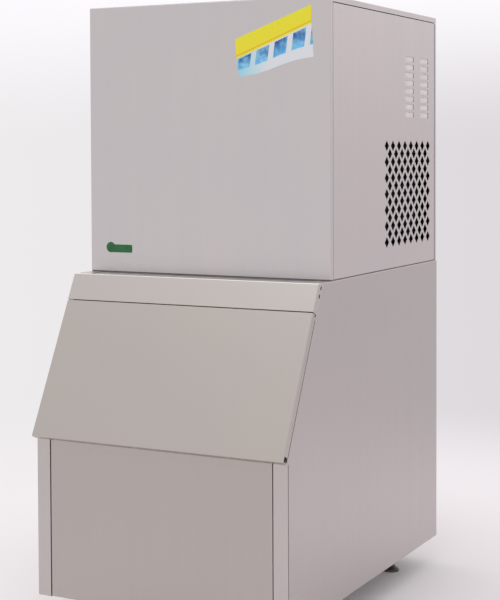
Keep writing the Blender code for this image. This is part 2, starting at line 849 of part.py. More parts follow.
def frame_edges():
    """Half width, top and foot of the opening in its frame, down the slope."""
    return LINER_HALF - 2 * BRACKET_INSET, OPENING_TOP + SEAM, OPENING_FOOT - SEAM


def bin_opening_frame(slope):
    """The plastic surround of the opening, on which the lid's gasket lands."""
    half, top, bottom = frame_edges()
    outer_half = half + FRAME_BORDER
    outer = rectangle(-outer_half, -SLOPE_LENGTH + SEAM, outer_half, -STRIP_LENGTH - LID_SEAM)
    inner = rectangle(-half, -bottom, half, -top)
    mesh = plate([outer, inner], FIT, FIT + FRAME_PLATE, "Z")
    piece = add_piece("bin_opening_frame", mesh, "white_plastic", slope)
    lip_room = block((-BIN_HALF, -HINGE_DOWN, FIT + SHEET), (BIN_HALF, -STRIP_LENGTH, FIT + 2 * FRAME_PLATE))
    combine(piece, add_guide("frame_lip_room", lip_room, slope))
    return piece


def hinge_bracket(name, side, hinge):
    """A tab with the lid's pivot pin, on a foot that stands on the side panel's sloping rim."""
    foot_low = FIT - HINGE_OUT
    tab_in = BIN_HALF - SHEET - BRACKET_INSET - BRACKET_PLATE
    head = [
        (BRACKET_HEAD * cos(angle), BRACKET_HEAD * sin(angle))
        for angle in (radians(degrees) for degrees in range(-30, 181, 30))
    ]
    outline = head + [
        (-BRACKET_LEAN, foot_low),
        (BRACKET_FOOT - BRACKET_LEAN, foot_low),
    ]
    tab_low, tab_high = sorted((side * tab_in, side * (tab_in + BRACKET_PLATE)))
    tab = plate([outline], tab_low, tab_high, "X")
    piece = add_piece(name, tab, "nickel_plate", hinge)
    pin = rod(PIN_RADIUS, (side * (tab_in + BRACKET_PLATE / 2), 0, 0), (side * BIN_HALF, 0, 0))
    base_low, base_high = sorted((side * (tab_in - BRACKET_HEAD * 2), side * (tab_in + BRACKET_PLATE)))
    base = block(
        (base_low, -BRACKET_LEAN, foot_low),
        (base_high, BRACKET_FOOT - BRACKET_LEAN, foot_low + SHEET),
    )
    combine(piece, add_guide(f"{name}_pin", pin, hinge), "UNION")
    combine(piece, add_guide(f"{name}_base", base, hinge), "UNION")
    return piece


def from_hinge(mesh):
    """Moves a shape drawn in the slope's frame to the lid's pivot."""
    mesh.transform(Matrix.Translation((0, HINGE_DOWN, -HINGE_OUT)))
    return mesh


def lid_shell(hinge):
    """The lid's outer sheet with its side flanges and the hem that serves as the grip."""
    mesh = block((-BIN_HALF, -LID_FOOT, LID_RIM_GAP), (BIN_HALF, -LID_TOP, LID_DEPTH))
    piece = add_piece("lid_shell", from_hinge(opened(mesh, DOWN, BACK)), "brushed_steel", hinge)
    bend_edges(piece)
    thicken(piece)
    corner_along, corner_out = LID_CORNER_CUT
    corner = block(
        (-BIN_HALF - SEAM, -LID_TOP - corner_along, LID_RIM_GAP - SEAM),
        (BIN_HALF + SEAM, -LID_TOP + SEAM, LID_RIM_GAP + corner_out),
    )
    combine(piece, add_guide("lid_corner_cut", from_hinge(corner), hinge))
    notch = block(
        (-BIN_HALF - SEAM, -LID_FOOT + SEAM, LID_RIM_GAP - SEAM),
        (BIN_HALF + SEAM, -LID_FOOT + HEM_NOTCH, LID_DEPTH - SEAM),
    )
    combine(piece, add_guide("lid_hem_notch", from_hinge(notch), hinge))
    bores = [
        rod(PIN_RADIUS + PIN_CLEARANCE, (side * (BIN_HALF - 2 * SHEET), 0, 0), (side * (BIN_HALF + SEAM), 0, 0))
        for side in SIDES.values()
    ]
    combine(piece, add_guide("lid_pin_bores", joined(*bores), hinge))
    return piece


def lid_inner_edges():
    """Half width, top and foot of the lid's inner panel."""
    return BIN_HALF - INNER_PANEL_INSET, LID_TOP + INNER_PANEL_TOP, LID_FOOT - HEM_NOTCH - INNER_PANEL_FOOT


def lid_inner_low():
    return FIT + FRAME_PLATE + FIT + GASKET_HEIGHT + FIT


def lid_inner_panel(hinge):
    half, top, bottom = lid_inner_edges()
    low = (-half, -bottom, lid_inner_low())
    high = (half, -top, LID_DEPTH - SHEET - FIT)
    mesh = from_hinge(opened(block(low, high), UP))
    piece = add_piece("lid_inner_panel", mesh, "liner_steel", hinge)
    thicken(piece)
    return piece


def lid_foam_core(hinge):
    half, top, bottom = lid_inner_edges()
    inset = SHEET + FIT
    low = (inset - half, inset - bottom, lid_inner_low() + inset)
    high = (half - inset, -top - inset, LID_DEPTH - SHEET - FIT)
    return add_piece("lid_foam_core", from_hinge(block(low, high)), "foam", hinge)


def lid_gasket(hinge):
    """A square-section ring that seals the lid to the opening frame."""
    half, top, bottom = frame_edges()
    half += SEAM
    inner = rectangle(-half, -bottom - SEAM, half, -top + SEAM)
    outer = offset_outline(inner, GASKET_WIDTH)
    low = FIT + FRAME_PLATE + FIT
    mesh = from_hinge(plate([outer, inner], low, low + GASKET_HEIGHT, "Z"))
    return add_piece("lid_gasket", mesh, "black_rubber", hinge)


# Head casing


def head_front_panel(head):
    return tray("head_front_panel", (-HEAD_HALF, 0, 0), (HEAD_HALF, FRONT_FLANGE, HEAD_HEIGHT), BACK, head)


def head_left_panel(head):
    low = (-HEAD_HALF, FRONT_FLANGE + SIDE_SEAM, 0)
    high = (SIDE_FLANGE - HEAD_HALF, SIDE_BACK, SIDE_TOP)
    return tray("head_left_panel", low, high, RIGHT, head)


def diamond_openings(low, high):
    """Prisms for the diamond grille; every second row has one opening less and is shifted by half."""
    outlines = []
    back_column = HEAD_DEPTH - DIAMOND_BACK
    for row in range(DIAMOND_ROWS):
        shifted = row % 2
        z = DIAMOND_LOW + row * DIAMOND_ROW
        for column in range(DIAMOND_COLUMNS - shifted):
            y = back_column - (column + shifted / 2) * DIAMOND_PITCH
            outlines.append(
                [
                    (y - DIAMOND_LENGTH / 2, z),
                    (y, z - DIAMOND_HEIGHT / 2),
                    (y + DIAMOND_LENGTH / 2, z),
                    (y, z + DIAMOND_HEIGHT / 2),
                ]
            )
    return plate(outlines, low, high, "X")


def louvre_places():
    """(back y, low z) of every louvre."""
    return [
        (HEAD_DEPTH - from_back, LOUVRE_LOW + row * LOUVRE_PITCH)
        for from_back in LOUVRE_BACKS
        for row in range(LOUVRE_ROWS)
    ]


def louvre_wedges(grow, outside, rise):
    """One wedge for each louvre, flush at its foot and deepest at its top edge."""
    wedges = []
    for back, low in louvre_places():
        outline = [
            (outside, low - grow),
            (outside, low + LOUVRE_HEIGHT + rise),
            (HEAD_HALF - LOUVRE_DEPTH - grow, low + LOUVRE_HEIGHT + rise),
            (HEAD_HALF - SHEET / 2, low - grow),
        ]
        wedges.append(plate([outline], back - LOUVRE_LENGTH - grow, back + grow, "Y"))
    return joined(*wedges)


def head_right_panel(head):
    """The right side sheet with its diamond grille and pressed-in louvres."""
    low = (HEAD_HALF - SIDE_FLANGE, FRONT_FLANGE + SIDE_SEAM, 0)
    high = (HEAD_HALF, SIDE_BACK, SIDE_TOP)
    piece = tray("head_right_panel", low, high, LEFT, head)
    pressed = louvre_wedges(SHEET, HEAD_HALF - SHEET / 2, 0)
    hollow = louvre_wedges(0, HEAD_HALF + SEAM, FIT)
    combine(piece, add_guide("louvre_hoods", pressed, head), "UNION")
    combine(piece, add_guide("louvre_hollows", hollow, head))
    diamonds = diamond_openings(HEAD_HALF - 2 * SHEET, HEAD_HALF + SEAM)
    combine(piece, add_guide("grille_openings", diamonds, head))
    return piece


def head_back_panel(head):
    """The back sheet with two stacks of vent slots and holes for the services."""
    low = (-HEAD_HALF, HEAD_DEPTH - BACK_FLANGE, 0)
    piece = tray("head_back_panel", low, (HEAD_HALF, HEAD_DEPTH, SIDE_TOP), FRONT, head)
    slots = [
        rectangle(x - VENT_LENGTH / 2, z, x + VENT_LENGTH / 2, z + VENT_HEIGHT)
        for x in (-VENT_SIDE, VENT_SIDE)
        for z in (VENT_LOW + row * VENT_PITCH for row in range(VENT_ROWS))
    ]
    holes = [
        circle(VALVE_X, inlet_height(), PIPE_RADIUS + 2 * FIT),
        circle(VALVE_X, GLAND_Z, GLAND_RADIUS + FIT),
    ]
    cutter = plate(slots + holes, HEAD_DEPTH - 2 * SHEET, HEAD_DEPTH + SEAM, "Y")
    combine(piece, add_guide("back_openings", cutter, head))
    return piece


def head_top_cover(head):
    low = (-HEAD_HALF, FRONT_FLANGE + FIT, HEAD_HEIGHT - TOP_BAND)
    return tray("head_top_cover", low, (HEAD_HALF, HEAD_DEPTH, HEAD_HEIGHT), DOWN, head)


def head_front_pan(head):
    """The tray round three sides of the opening through which the ice drops."""
    low = (-INNER_HALF, FRONT_FLANGE + FIT, 0)
    high = (INNER_HALF, DROP_BACK - FIT, BASE_WALL)
    piece = tray("head_front_pan", low, high, UP, head, open_end=BACK)
    drop = block((-DROP_HALF_WIDTH, DROP_FRONT, -SEAM), (DROP_HALF_WIDTH, HEAD_DEPTH, 2 * SEAM))
    combine(piece, add_guide("drop_opening", drop, head))
    return piece


def head_base_pan(head):
    """The tray that carries the works. Its front edge is the back of the drop opening."""
    low = (-INNER_HALF, DROP_BACK, 0)
    high = (INNER_HALF, HEAD_DEPTH - BACK_FLANGE - FIT, BASE_WALL)
    return tray("head_base_pan", low, high, UP, head, open_end=FRONT)


# Ice making section


def partition_holes():
    """(x, z, radius) of each pipe that crosses the partition."""
    coil_x = EVAPORATOR_HALF_WIDTH - COIL_INSET
    return [
        (coil_x, coil_height(0), COIL_RADIUS + 2 * FIT),
        (coil_x, coil_height(COIL_RUNS - 1), COIL_RADIUS + 2 * FIT),
        (VALVE_X, inlet_height(), PIPE_RADIUS + 2 * FIT),
    ]


def head_partition(head):
    """The insulated wall between the ice making section and the cooling section."""
    half = INNER_HALF - SHEET - FIT
    outline = rectangle(-half, FLOOR_TOP, half, HEAD_HEIGHT - SHEET - FIT)
    holes = [circle(*hole) for hole in partition_holes()]
    mesh = plate([outline, *holes], PARTITION_FRONT, PARTITION_BACK, "Y")
    return add_piece("head_partition", mesh, "white_plastic", head)


def ice_chute(head):
    """An open funnel that guides the ice through the base pan into the bin."""
    half = DROP_HALF_WIDTH - FIT
    outline = [
        (DROP_BACK - FIT, -CHUTE_DIP),
        (DROP_BACK - FIT, FLOOR_TOP),
        (DROP_BACK + CHUTE_FLARE, CHUTE_RISE),
        (DROP_FRONT + FIT, CHUTE_RISE),
        (DROP_FRONT + FIT, -CHUTE_DIP),
    ]
    mesh = opened(merge_flat(plate([outline], -half, half, "X")), UP, DOWN)
    piece = add_piece("ice_chute", mesh, "white_plastic", head)
    thicken(piece, CHUTE_SHEET)
    return piece


def water_trough(head):
    low = (-TROUGH_HALF_LENGTH, TROUGH_FRONT, FLOOR_TOP)
    high = (TROUGH_HALF_LENGTH, PARTITION_FRONT - FIT, FLOOR_TOP + TROUGH_HEIGHT)
    mesh = opened(block(low, high), UP)
    piece = add_piece("water_trough", mesh, "white_plastic", head)
    bend_edges(piece, 2 * BEND_RADIUS)
    thicken(piece, TROUGH_WALL)
    return piece


def evaporator_plate(head):
    """The plated ice mould: a grid of square cells on a back plate."""
    high_z = EVAPORATOR_LOW + EVAPORATOR_HEIGHT
    front = EVAPORATOR_BACK - EVAPORATOR_DEPTH
    low = (-EVAPORATOR_HALF_WIDTH, front, EVAPORATOR_LOW)
    piece = add_piece(
        "evaporator_plate",
        block(low, (EVAPORATOR_HALF_WIDTH, EVAPORATOR_BACK, high_z)),
        "nickel_plate",
        head,
    )
    across = (2 * EVAPORATOR_HALF_WIDTH - CELL_RIB) / CELL_COLUMNS
    along = (EVAPORATOR_HEIGHT - CELL_RIB) / CELL_ROWS
    cells = [
        rectangle(x + CELL_RIB, z + CELL_RIB, x + across, z + along)
        for x in (column * across - EVAPORATOR_HALF_WIDTH for column in range(CELL_COLUMNS))
        for z in (row * along + EVAPORATOR_LOW for row in range(CELL_ROWS))
    ]
    combine(piece, add_guide("ice_cells", plate(cells, front - SEAM, front + CELL_DEPTH, "Y"), head))
    return piece


def coil_height(run):
    step = (EVAPORATOR_HEIGHT - 2 * COIL_INSET) / (COIL_RUNS - 1)
    return EVAPORATOR_LOW + COIL_INSET + run * step


def evaporator_coil(head):
    """The refrigerant pipe that snakes over the back of the ice mould."""
    y = EVAPORATOR_BACK + FIT + COIL_RADIUS
    half = EVAPORATOR_HALF_WIDTH - COIL_INSET
    end = PARTITION_BACK + COIL_RADIUS
    route = [(half, end, coil_height(0)), (half, y, coil_height(0))]
    for run in range(COIL_RUNS):
        side = -half if run % 2 == 0 else half
        route.append((side, y, coil_height(run)))
        if run + 1 < COIL_RUNS:
            route.append((side, y, coil_height(run + 1)))
    route.append((half, end, coil_height(COIL_RUNS - 1)))
    mesh = pipe(rounded_path(route, 2 * COIL_RADIUS, 2), COIL_RADIUS, 1)
    return add_piece("evaporator_coil", mesh, "copper", head)


def evaporator_support(name, side, head):
    """An end plate that holds the ice mould and carries the curtain's pin."""
    inner = EVAPORATOR_HALF_WIDTH + FIT
    low, high = sorted((side * inner, side * (inner + SUPPORT_THICKNESS)))
    outline = rectangle(
        SUPPORT_FRONT,
        EVAPORATOR_LOW - SUPPORT_MARGIN,
        PARTITION_FRONT - FIT,
        EVAPORATOR_LOW + EVAPORATOR_HEIGHT + SUPPORT_MARGIN,
    )
    holes = [
        circle(CURTAIN_FRONT, curtain_pin_height(), CURTAIN_PIN_RADIUS + PIN_CLEARANCE),
        circle(distributor_y(), distributor_height(), DISTRIBUTOR_RADIUS + FIT),
    ]
    return add_piece(name, plate([outline, *holes], low, high, "X"), "white_plastic", head)


def curtain_pin_height():
    return EVAPORATOR_LOW + EVAPORATOR_HEIGHT + CURTAIN_PIN_RISE


def distributor_y():
    return EVAPORATOR_BACK - EVAPORATOR_DEPTH / 2


def distributor_height():
    return EVAPORATOR_LOW + EVAPORATOR_HEIGHT + DISTRIBUTOR_RISE


def water_distributor(head):
    """The tube that wets the ice mould, held in both supports."""
    half = EVAPORATOR_HALF_WIDTH + FIT + SUPPORT_THICKNESS
    mesh = rod(
        DISTRIBUTOR_RADIUS,
        (-half, distributor_y(), distributor_height()),
        (half, distributor_y(), distributor_height()),
    )
    return add_piece("water_distributor", mesh, "white_plastic", head)


def water_curtain(curtain):
    """The flap that keeps the falling water on the mould and swings out when the ice slides off."""
    half = EVAPORATOR_HALF_WIDTH - SEAM
    drop = -CURTAIN_DROP
    piece = add_piece(
        "water_curtain",
        block((-half, -CURTAIN_SHEET, drop), (half, 0, CURTAIN_PIN_RADIUS)),
        "white_plastic",
        curtain,
    )
    pin_half = half + SUPPORT_THICKNESS
    ribs = [
        block((x - CURTAIN_SHEET, -CURTAIN_RIB, drop), (x + CURTAIN_SHEET, -CURTAIN_SHEET / 2, 0))
        for x in (-half + CURTAIN_SHEET + FIT, 0, half - CURTAIN_SHEET - FIT)
    ]
    combine(piece, add_guide("curtain_ribs", joined(*ribs), curtain), "UNION")
    pin = rod(CURTAIN_PIN_RADIUS, (-pin_half, 0, 0), (pin_half, 0, 0), 12)
    combine(piece, add_guide("curtain_pin", pin, curtain), "UNION")
    return piece


def trough_top():
    return FLOOR_TOP + TROUGH_HEIGHT


def inlet_height():
    return trough_top() + FIT + VALVE_BLOCK / 2


def pump_y():
    return (TROUGH_FRONT + PARTITION_FRONT) / 2


def pump_motor(head):
    """The pump's motor on its flange across the trough, with the column down to the impeller."""
    top = trough_top() + FIT + PUMP_FLANGE + PUMP_HEIGHT
    flange_low = trough_top() + FIT
    column_low = FLOOR_TOP + TROUGH_WALL + IMPELLER_FLOOR_GAP + IMPELLER_HEIGHT + SEAM
    profile = [
        (0, top),
        (PUMP_RADIUS - SEAM, top),
        (PUMP_RADIUS, top - SEAM),
        (PUMP_RADIUS, flange_low + PUMP_FLANGE / 2),
        (PUMP_COLUMN_RADIUS, flange_low + PUMP_FLANGE / 2),
        (PUMP_COLUMN_RADIUS, column_low),
        (0, column_low),
    ]
    piece = add_piece("pump_motor", profile_line(profile), "grey_plastic", head, (PUMP_X, pump_y(), 0))
    spin(piece, 20)
    half_x = TROUGH_HALF_LENGTH - PUMP_X
    half_y = PARTITION_FRONT - FIT - pump_y()
    flange = block((-half_x, -half_y, flange_low), (half_x, half_y, flange_low + PUMP_FLANGE))
    bore = rod(PUMP_SHAFT_RADIUS + PIN_CLEARANCE, (0, 0, column_low - SEAM), (0, 0, flange_low), 20)
    combine(piece, add_guide("pump_flange", flange, head, (PUMP_X, pump_y(), 0)), "UNION")
    combine(piece, add_guide("pump_bore", bore, head, (PUMP_X, pump_y(), 0)))
    return piece


def pump_impeller(pump):
    """The impeller with its vanes and its shaft up into the motor's column."""
    low = FLOOR_TOP + TROUGH_WALL + IMPELLER_FLOOR_GAP
    shaft_top = trough_top() - SEAM
    profile = [
        (0, shaft_top),
        (PUMP_SHAFT_RADIUS, shaft_top),
        (PUMP_SHAFT_RADIUS, low + IMPELLER_HEIGHT),
        (2 * PUMP_SHAFT_RADIUS, low + IMPELLER_HEIGHT),
        (2 * PUMP_SHAFT_RADIUS, low + 2 * SEAM),
        (IMPELLER_RADIUS, low + SEAM),
        (IMPELLER_RADIUS, low),
        (0, low),
    ]
    piece = add_piece("pump_impeller", profile_line(profile), "grey_plastic", pump)
    spin(piece, 16)
    vanes = []
    for at in range(IMPELLER_VANES):
        vane = block(
            (PUMP_SHAFT_RADIUS, -SEAM / 2, low + SEAM / 2),
            (IMPELLER_RADIUS, SEAM / 2, low + IMPELLER_HEIGHT),
        )
        vane.transform(Matrix.Rotation(at * 2 * pi / IMPELLER_VANES, 4, "Z"))
        vanes.append(vane)
    for at, vane in enumerate(vanes):
        combine(piece, add_guide(f"impeller_vane_{at}", vane, pump), "UNION")
    return piece


def water_riser(head):
    """The pipe from the pump's flange up to the distributor."""
    x = PUMP_X
    y = distributor_y()
    low = trough_top() + FIT + PUMP_FLANGE + FIT
    half = EVAPORATOR_HALF_WIDTH + FIT + SUPPORT_THICKNESS + FIT
    y_low = pump_y() + PUMP_RADIUS + RISER_RADIUS + SEAM
    route = [
        (x, y_low, low),
        (x, y_low, distributor_height() - 6 * RISER_RADIUS),
        (x, y, distributor_height()),
        (half, y, distributor_height()),
    ]
    mesh = pipe(rounded_path(route, 2 * RISER_RADIUS, 4), RISER_RADIUS)
    return add_piece("water_riser", mesh, "white_plastic", head)


def float_valve(head):
    """The fill valve on the trough's rim, with ears for the float arm."""
    low = trough_top() + FIT
    back = PARTITION_FRONT - FIT
    piece = add_piece(
        "float_valve",
        block((VALVE_X - VALVE_BLOCK / 2, pump_y(), low), (VALVE_X + VALVE_BLOCK / 2, back, low + VALVE_BLOCK)),
        "white_plastic",
        head,
    )
    ear = block(
        (VALVE_X - VALVE_BLOCK / 4, pump_y() - VALVE_BLOCK, low),
        (VALVE_X + VALVE_BLOCK / 4, pump_y() + SEAM, low + VALVE_BLOCK),
    )
    slot = block(
        (VALVE_X - VALVE_BLOCK, pump_y() - VALVE_BLOCK * EAR_SLOT_TO, low - SEAM),
        (VALVE_X + VALVE_BLOCK, pump_y() - VALVE_BLOCK * EAR_SLOT_FROM, low + VALVE_BLOCK * EAR_SLOT_RISE),
    )
    bore = rod(
        FLOAT_ARM_RADIUS + PIN_CLEARANCE,
        (VALVE_X, pump_y() - VALVE_BLOCK - SEAM, low + VALVE_BLOCK / 2),
        (VALVE_X, pump_y() + SEAM, low + VALVE_BLOCK / 2),
        12,
    )
    combine(piece, add_guide("valve_ear", ear, head), "UNION")
    combine(piece, add_guide("valve_ear_slot", slot, head))
    combine(piece, add_guide("valve_ear_bore", bore, head))
    return piece


def float_arm(pivot):
    """The arm with its pin and float, hung from the valve's ears."""
    piece = add_piece(
        "float_arm",
        rod(FLOAT_ARM_RADIUS, (0, -VALVE_BLOCK / 2, 0), (0, VALVE_BLOCK / 2, 0), 12),
        "white_plastic",
        pivot,
    )
    reach = (FLOAT_REACH, 0, -FLOAT_DROP_SHARE * FLOAT_RADIUS)
    arm = rod(FLOAT_ARM_RADIUS, (0, 0, 0), reach, 8)
    bm = bmesh.new()
    bmesh.ops.create_uvsphere(bm, u_segments=14, v_segments=8, radius=FLOAT_RADIUS)
    bmesh.ops.translate(bm, vec=reach, verts=bm.verts)
    ball = to_mesh(bm, "float")
    combine(piece, add_guide("float_arm_rod", arm, pivot), "UNION")
    combine(piece, add_guide("float_ball", ball, pivot), "UNION")
    return piece


# Cooling section


def compressor(head):
    """A hermetic compressor: a welded drum with domed ends on its base plate."""
    low = FLOOR_TOP + MOUNT_HEIGHT + 2 * FIT
    foot_top = low + COMPRESSOR_PLATE
    top = low + COMPRESSOR_HEIGHT
    dome = COMPRESSOR_RADIUS * COMPRESSOR_DOME_SHARE
    upper = [
        (COMPRESSOR_RADIUS * sin(radians(angle)), top - dome + dome * cos(radians(angle)))
        for angle in range(0, 91, 18)
    ]
    belly, foot = COMPRESSOR_LOWER_SHARES
    lower = [
        (COMPRESSOR_RADIUS, foot_top + dome / 2),
        (COMPRESSOR_RADIUS * belly, foot_top + dome / 6),
        (COMPRESSOR_RADIUS * foot, low + COMPRESSOR_PLATE / 2),
        (0, low + COMPRESSOR_PLATE / 2),
    ]
    place = (COMPRESSOR_X, COMPRESSOR_Y, 0)
    piece = add_piece("compressor", profile_line(upper + lower), "black_enamel", head, place)
    spin(piece, 20)
    half = COMPRESSOR_PLATE_HALF
    base = block((-half, -half, low), (half, half, foot_top))
    combine(piece, add_guide("compressor_feet", base, head, place), "UNION")
    return piece


def compressor_mount(name, across, along, head):
    """A rubber mount between the base pan and the compressor's base plate."""
    inset = COMPRESSOR_PLATE_HALF - MOUNT_RADIUS - SEAM
    x = COMPRESSOR_X + across * inset
    y = COMPRESSOR_Y + along * inset
    low = FLOOR_TOP
    mesh = rod(MOUNT_RADIUS, (x, y, low), (x, y, low + MOUNT_HEIGHT), 12, MOUNT_RADIUS * MOUNT_TAPER)
    return add_piece(name, mesh, "black_rubber", head)


def condenser(head):
    """The air-cooled condenser: a fin pack between two end plates, with its return bends."""
    inside = CONDENSER_OUT - CONDENSER_THICKNESS
    core = block((inside, CONDENSER_FRONT, CONDENSER_LOW), (CONDENSER_OUT, CONDENSER_BACK, CONDENSER_HIGH))
    piece = add_piece("condenser", core, "aluminium", head)
    ends = [
        block((inside, y, FLOOR_TOP), (CONDENSER_OUT, y + 2 * SHEET, CONDENSER_HIGH + 2 * SEAM))
        for y in (CONDENSER_FRONT - SHEET, CONDENSER_BACK - SHEET)
    ]
    pitch = (CONDENSER_BACK - CONDENSER_FRONT) / FIN_COUNT
    slits = [
        rectangle(
            CONDENSER_OUT - FIN_SLIT_DEPTH,
            CONDENSER_FRONT + (2 * at + 1) * pitch / 2 - FIN_SLIT / 2,
            CONDENSER_OUT + SEAM,
            CONDENSER_FRONT + (2 * at + 1) * pitch / 2 + FIN_SLIT / 2,
        )
        for at in range(FIN_COUNT)
    ]
    slit_tool = plate(slits, CONDENSER_LOW + SEAM, CONDENSER_HIGH - SEAM, "Z")
    combine(piece, add_guide("fin_slits", slit_tool, head))
    combine(piece, add_guide("condenser_ends", joined(*ends), head), "UNION")
    rise = (CONDENSER_HIGH - CONDENSER_LOW) / (2 * HAIRPIN_COUNT)
    x = (inside + CONDENSER_OUT) / 2
    bends = []
    for y, way in ((CONDENSER_FRONT, -1), (CONDENSER_BACK, 1)):
        for at in range(HAIRPIN_COUNT):
            z = CONDENSER_LOW + rise * (2 * at + 0.5)
            out = y + way * HAIRPIN_OUT
            route = [(x, y, z), (x, out, z), (x, out, z + rise), (x, y, z + rise)]
            bends.append(pipe(rounded_path(route, HAIRPIN_OUT * HAIRPIN_BEND_SHARE, 2), HAIRPIN_RADIUS, 1))
    combine(piece, add_guide("return_bends", joined(*bends), head), "UNION")
    return piece


def fan_shroud(head):
    """The shroud that guides the air from the condenser to the fan."""
    low = (SHROUD_IN, CONDENSER_FRONT + 2 * SEAM, CONDENSER_LOW)
    high = (SHROUD_OUT, CONDENSER_BACK - 2 * SEAM, CONDENSER_HIGH)
    piece = tray("fan_shroud", low, high, RIGHT, head, "black_enamel")
    hole_start = (SHROUD_IN - SEAM, FAN_Y, FAN_Z)
    hole_end = (SHROUD_IN + 2 * SEAM, FAN_Y, FAN_Z)
    hole = rod(FAN_RADIUS + FAN_TIP_GAP, hole_start, hole_end, 32)
    combine(piece, add_guide("shroud_ring", hole, head))
    return piece


def fan_blade(at):
    """One pitched blade, curved along its chord, about the local Z axis."""
    bm = bmesh.new()
    bmesh.ops.create_grid(bm, x_segments=3, y_segments=4, size=1)
    root = FAN_HUB_RADIUS * FAN_ROOT_SHARE
    for vert in bm.verts:
        along, chord = (vert.co.x + 1) / 2, vert.co.y
        radius = root + along * (FAN_RADIUS - root)
        angle = chord * radians(FAN_BLADE_SPREAD + FAN_BLADE_FLARE * along) + at * 2 * pi / FAN_BLADES
        rise = chord * FAN_BLADE_RISE / 2 * (1 - FAN_BLADE_WASHOUT * along) + (chord**2 - 0.5) * FAN_BLADE_SHEET
        vert.co = (radius * cos(angle), radius * sin(angle), rise)
    return to_mesh(bm, "blade")


def condenser_fan(axis):
    """The fan: a hub with pitched blades and the shaft that turns in the motor."""
    half = FAN_HUB_LENGTH / 2
    profile = [
        (0, half),
        (FAN_HUB_RADIUS - SEAM, half),
        (FAN_HUB_RADIUS, half - SEAM),
        (FAN_HUB_RADIUS, -half),
        (FAN_SHAFT_RADIUS, -half),
        (FAN_SHAFT_RADIUS, -half - MOTOR_GAP - FAN_SHAFT_LENGTH),
        (0, -half - MOTOR_GAP - FAN_SHAFT_LENGTH),
    ]
    piece = add_piece("condenser_fan", profile_line(profile), "aluminium", axis)
    spin(piece, 20)
    for at in range(FAN_BLADES):
        blade = add_guide(f"fan_blade_{at}", fan_blade(at), axis)
        thicken(blade, FAN_BLADE_SHEET)
        blade.modifiers["sheet"].offset = 0
        combine(piece, blade, "UNION")
    return piece


def fan_motor(axis):
    """The fan's motor, with a blind bore for the shaft."""
    face = -FAN_HUB_LENGTH / 2 - MOTOR_GAP
    bore = FAN_SHAFT_RADIUS + PIN_CLEARANCE
    boss = 3 * FAN_SHAFT_RADIUS
    profile = [
        (0, face - FAN_SHAFT_LENGTH - SEAM),
        (bore, face - FAN_SHAFT_LENGTH - SEAM),
        (bore, face),
        (boss, face),
        (boss, face - 3 * SEAM),
        (MOTOR_RADIUS - 2 * SEAM, face - 3 * SEAM),
        (MOTOR_RADIUS, face - 5 * SEAM),
        (MOTOR_RADIUS, face - MOTOR_LENGTH + 2 * SEAM),
        (MOTOR_RADIUS - 2 * SEAM, face - MOTOR_LENGTH),
        (0, face - MOTOR_LENGTH),
    ]
    piece = add_piece("fan_motor", profile_line(profile), "black_enamel", axis)
    spin(piece, 18)
    return piece


def fan_motor_bracket(head):
    """A folded plate on the base pan with a round seat for the motor."""
    x = MOTOR_FACE - MOTOR_LENGTH / 2
    half = MOTOR_BRACKET_HALF
    neck = MOTOR_RADIUS + 3 * MOTOR_BRACKET_SHEET
    outline = [
        (FAN_Y - half, FLOOR_TOP),
        (FAN_Y + half, FLOOR_TOP),
        (FAN_Y + neck, FAN_Z),
        (FAN_Y + neck / 2, FAN_Z + neck),
        (FAN_Y - neck / 2, FAN_Z + neck),
        (FAN_Y - neck, FAN_Z),
    ]
    seat = circle(FAN_Y, FAN_Z, MOTOR_RADIUS + 2 * FIT, 24)
    sheet = MOTOR_BRACKET_SHEET
    wall = plate([outline, seat], x - sheet / 2, x + sheet / 2, "X")
    piece = add_piece("fan_motor_bracket", wall, "aluminium", head)
    flange_low = (x, FAN_Y - half + SEAM, FLOOR_TOP)
    flange = block(flange_low, (x + 10 * sheet, FAN_Y + half - SEAM, FLOOR_TOP + sheet))
    combine(piece, add_guide("motor_bracket_foot", flange, head), "UNION")
    return piece


def control_box(head):
    front = PARTITION_BACK + FIT
    low = (CONTROL_BOX_SIDE_GAP - HEAD_HALF, front, CONTROL_BOX_LOW)
    high = (
        COMPRESSOR_X - CONTROL_BOX_PIPE_GAP,
        front + CONTROL_BOX_DEPTH,
        CONTROL_BOX_LOW + CONTROL_BOX_HEIGHT,
    )
    piece = add_piece("control_box", block(low, high), "liner_steel", head)
    bend_edges(piece)
    return piece


def compressor_top():
    return FLOOR_TOP + MOUNT_HEIGHT + 2 * FIT + COMPRESSOR_HEIGHT


def discharge_pipe(head):
    """From the top of the compressor over to the head of the condenser."""
    rise = compressor_top() + 10 * PIPE_RADIUS
    x_end = CONDENSER_OUT - CONDENSER_THICKNESS / 2
    y_end = CONDENSER_BACK - 6 * PIPE_RADIUS
    top = CONDENSER_HIGH + FIT
    over = max(rise, top + 8 * PIPE_RADIUS)
    route = [
        (COMPRESSOR_X, COMPRESSOR_Y, compressor_top() + FIT),
        (COMPRESSOR_X, COMPRESSOR_Y, over),
        (COMPRESSOR_X, y_end, over),
        (x_end, y_end, over),
        (x_end, y_end, top),
    ]
    mesh = pipe(rounded_path(route, 3 * PIPE_RADIUS, 3), PIPE_RADIUS)
    return add_piece("discharge_pipe", mesh, "copper", head)


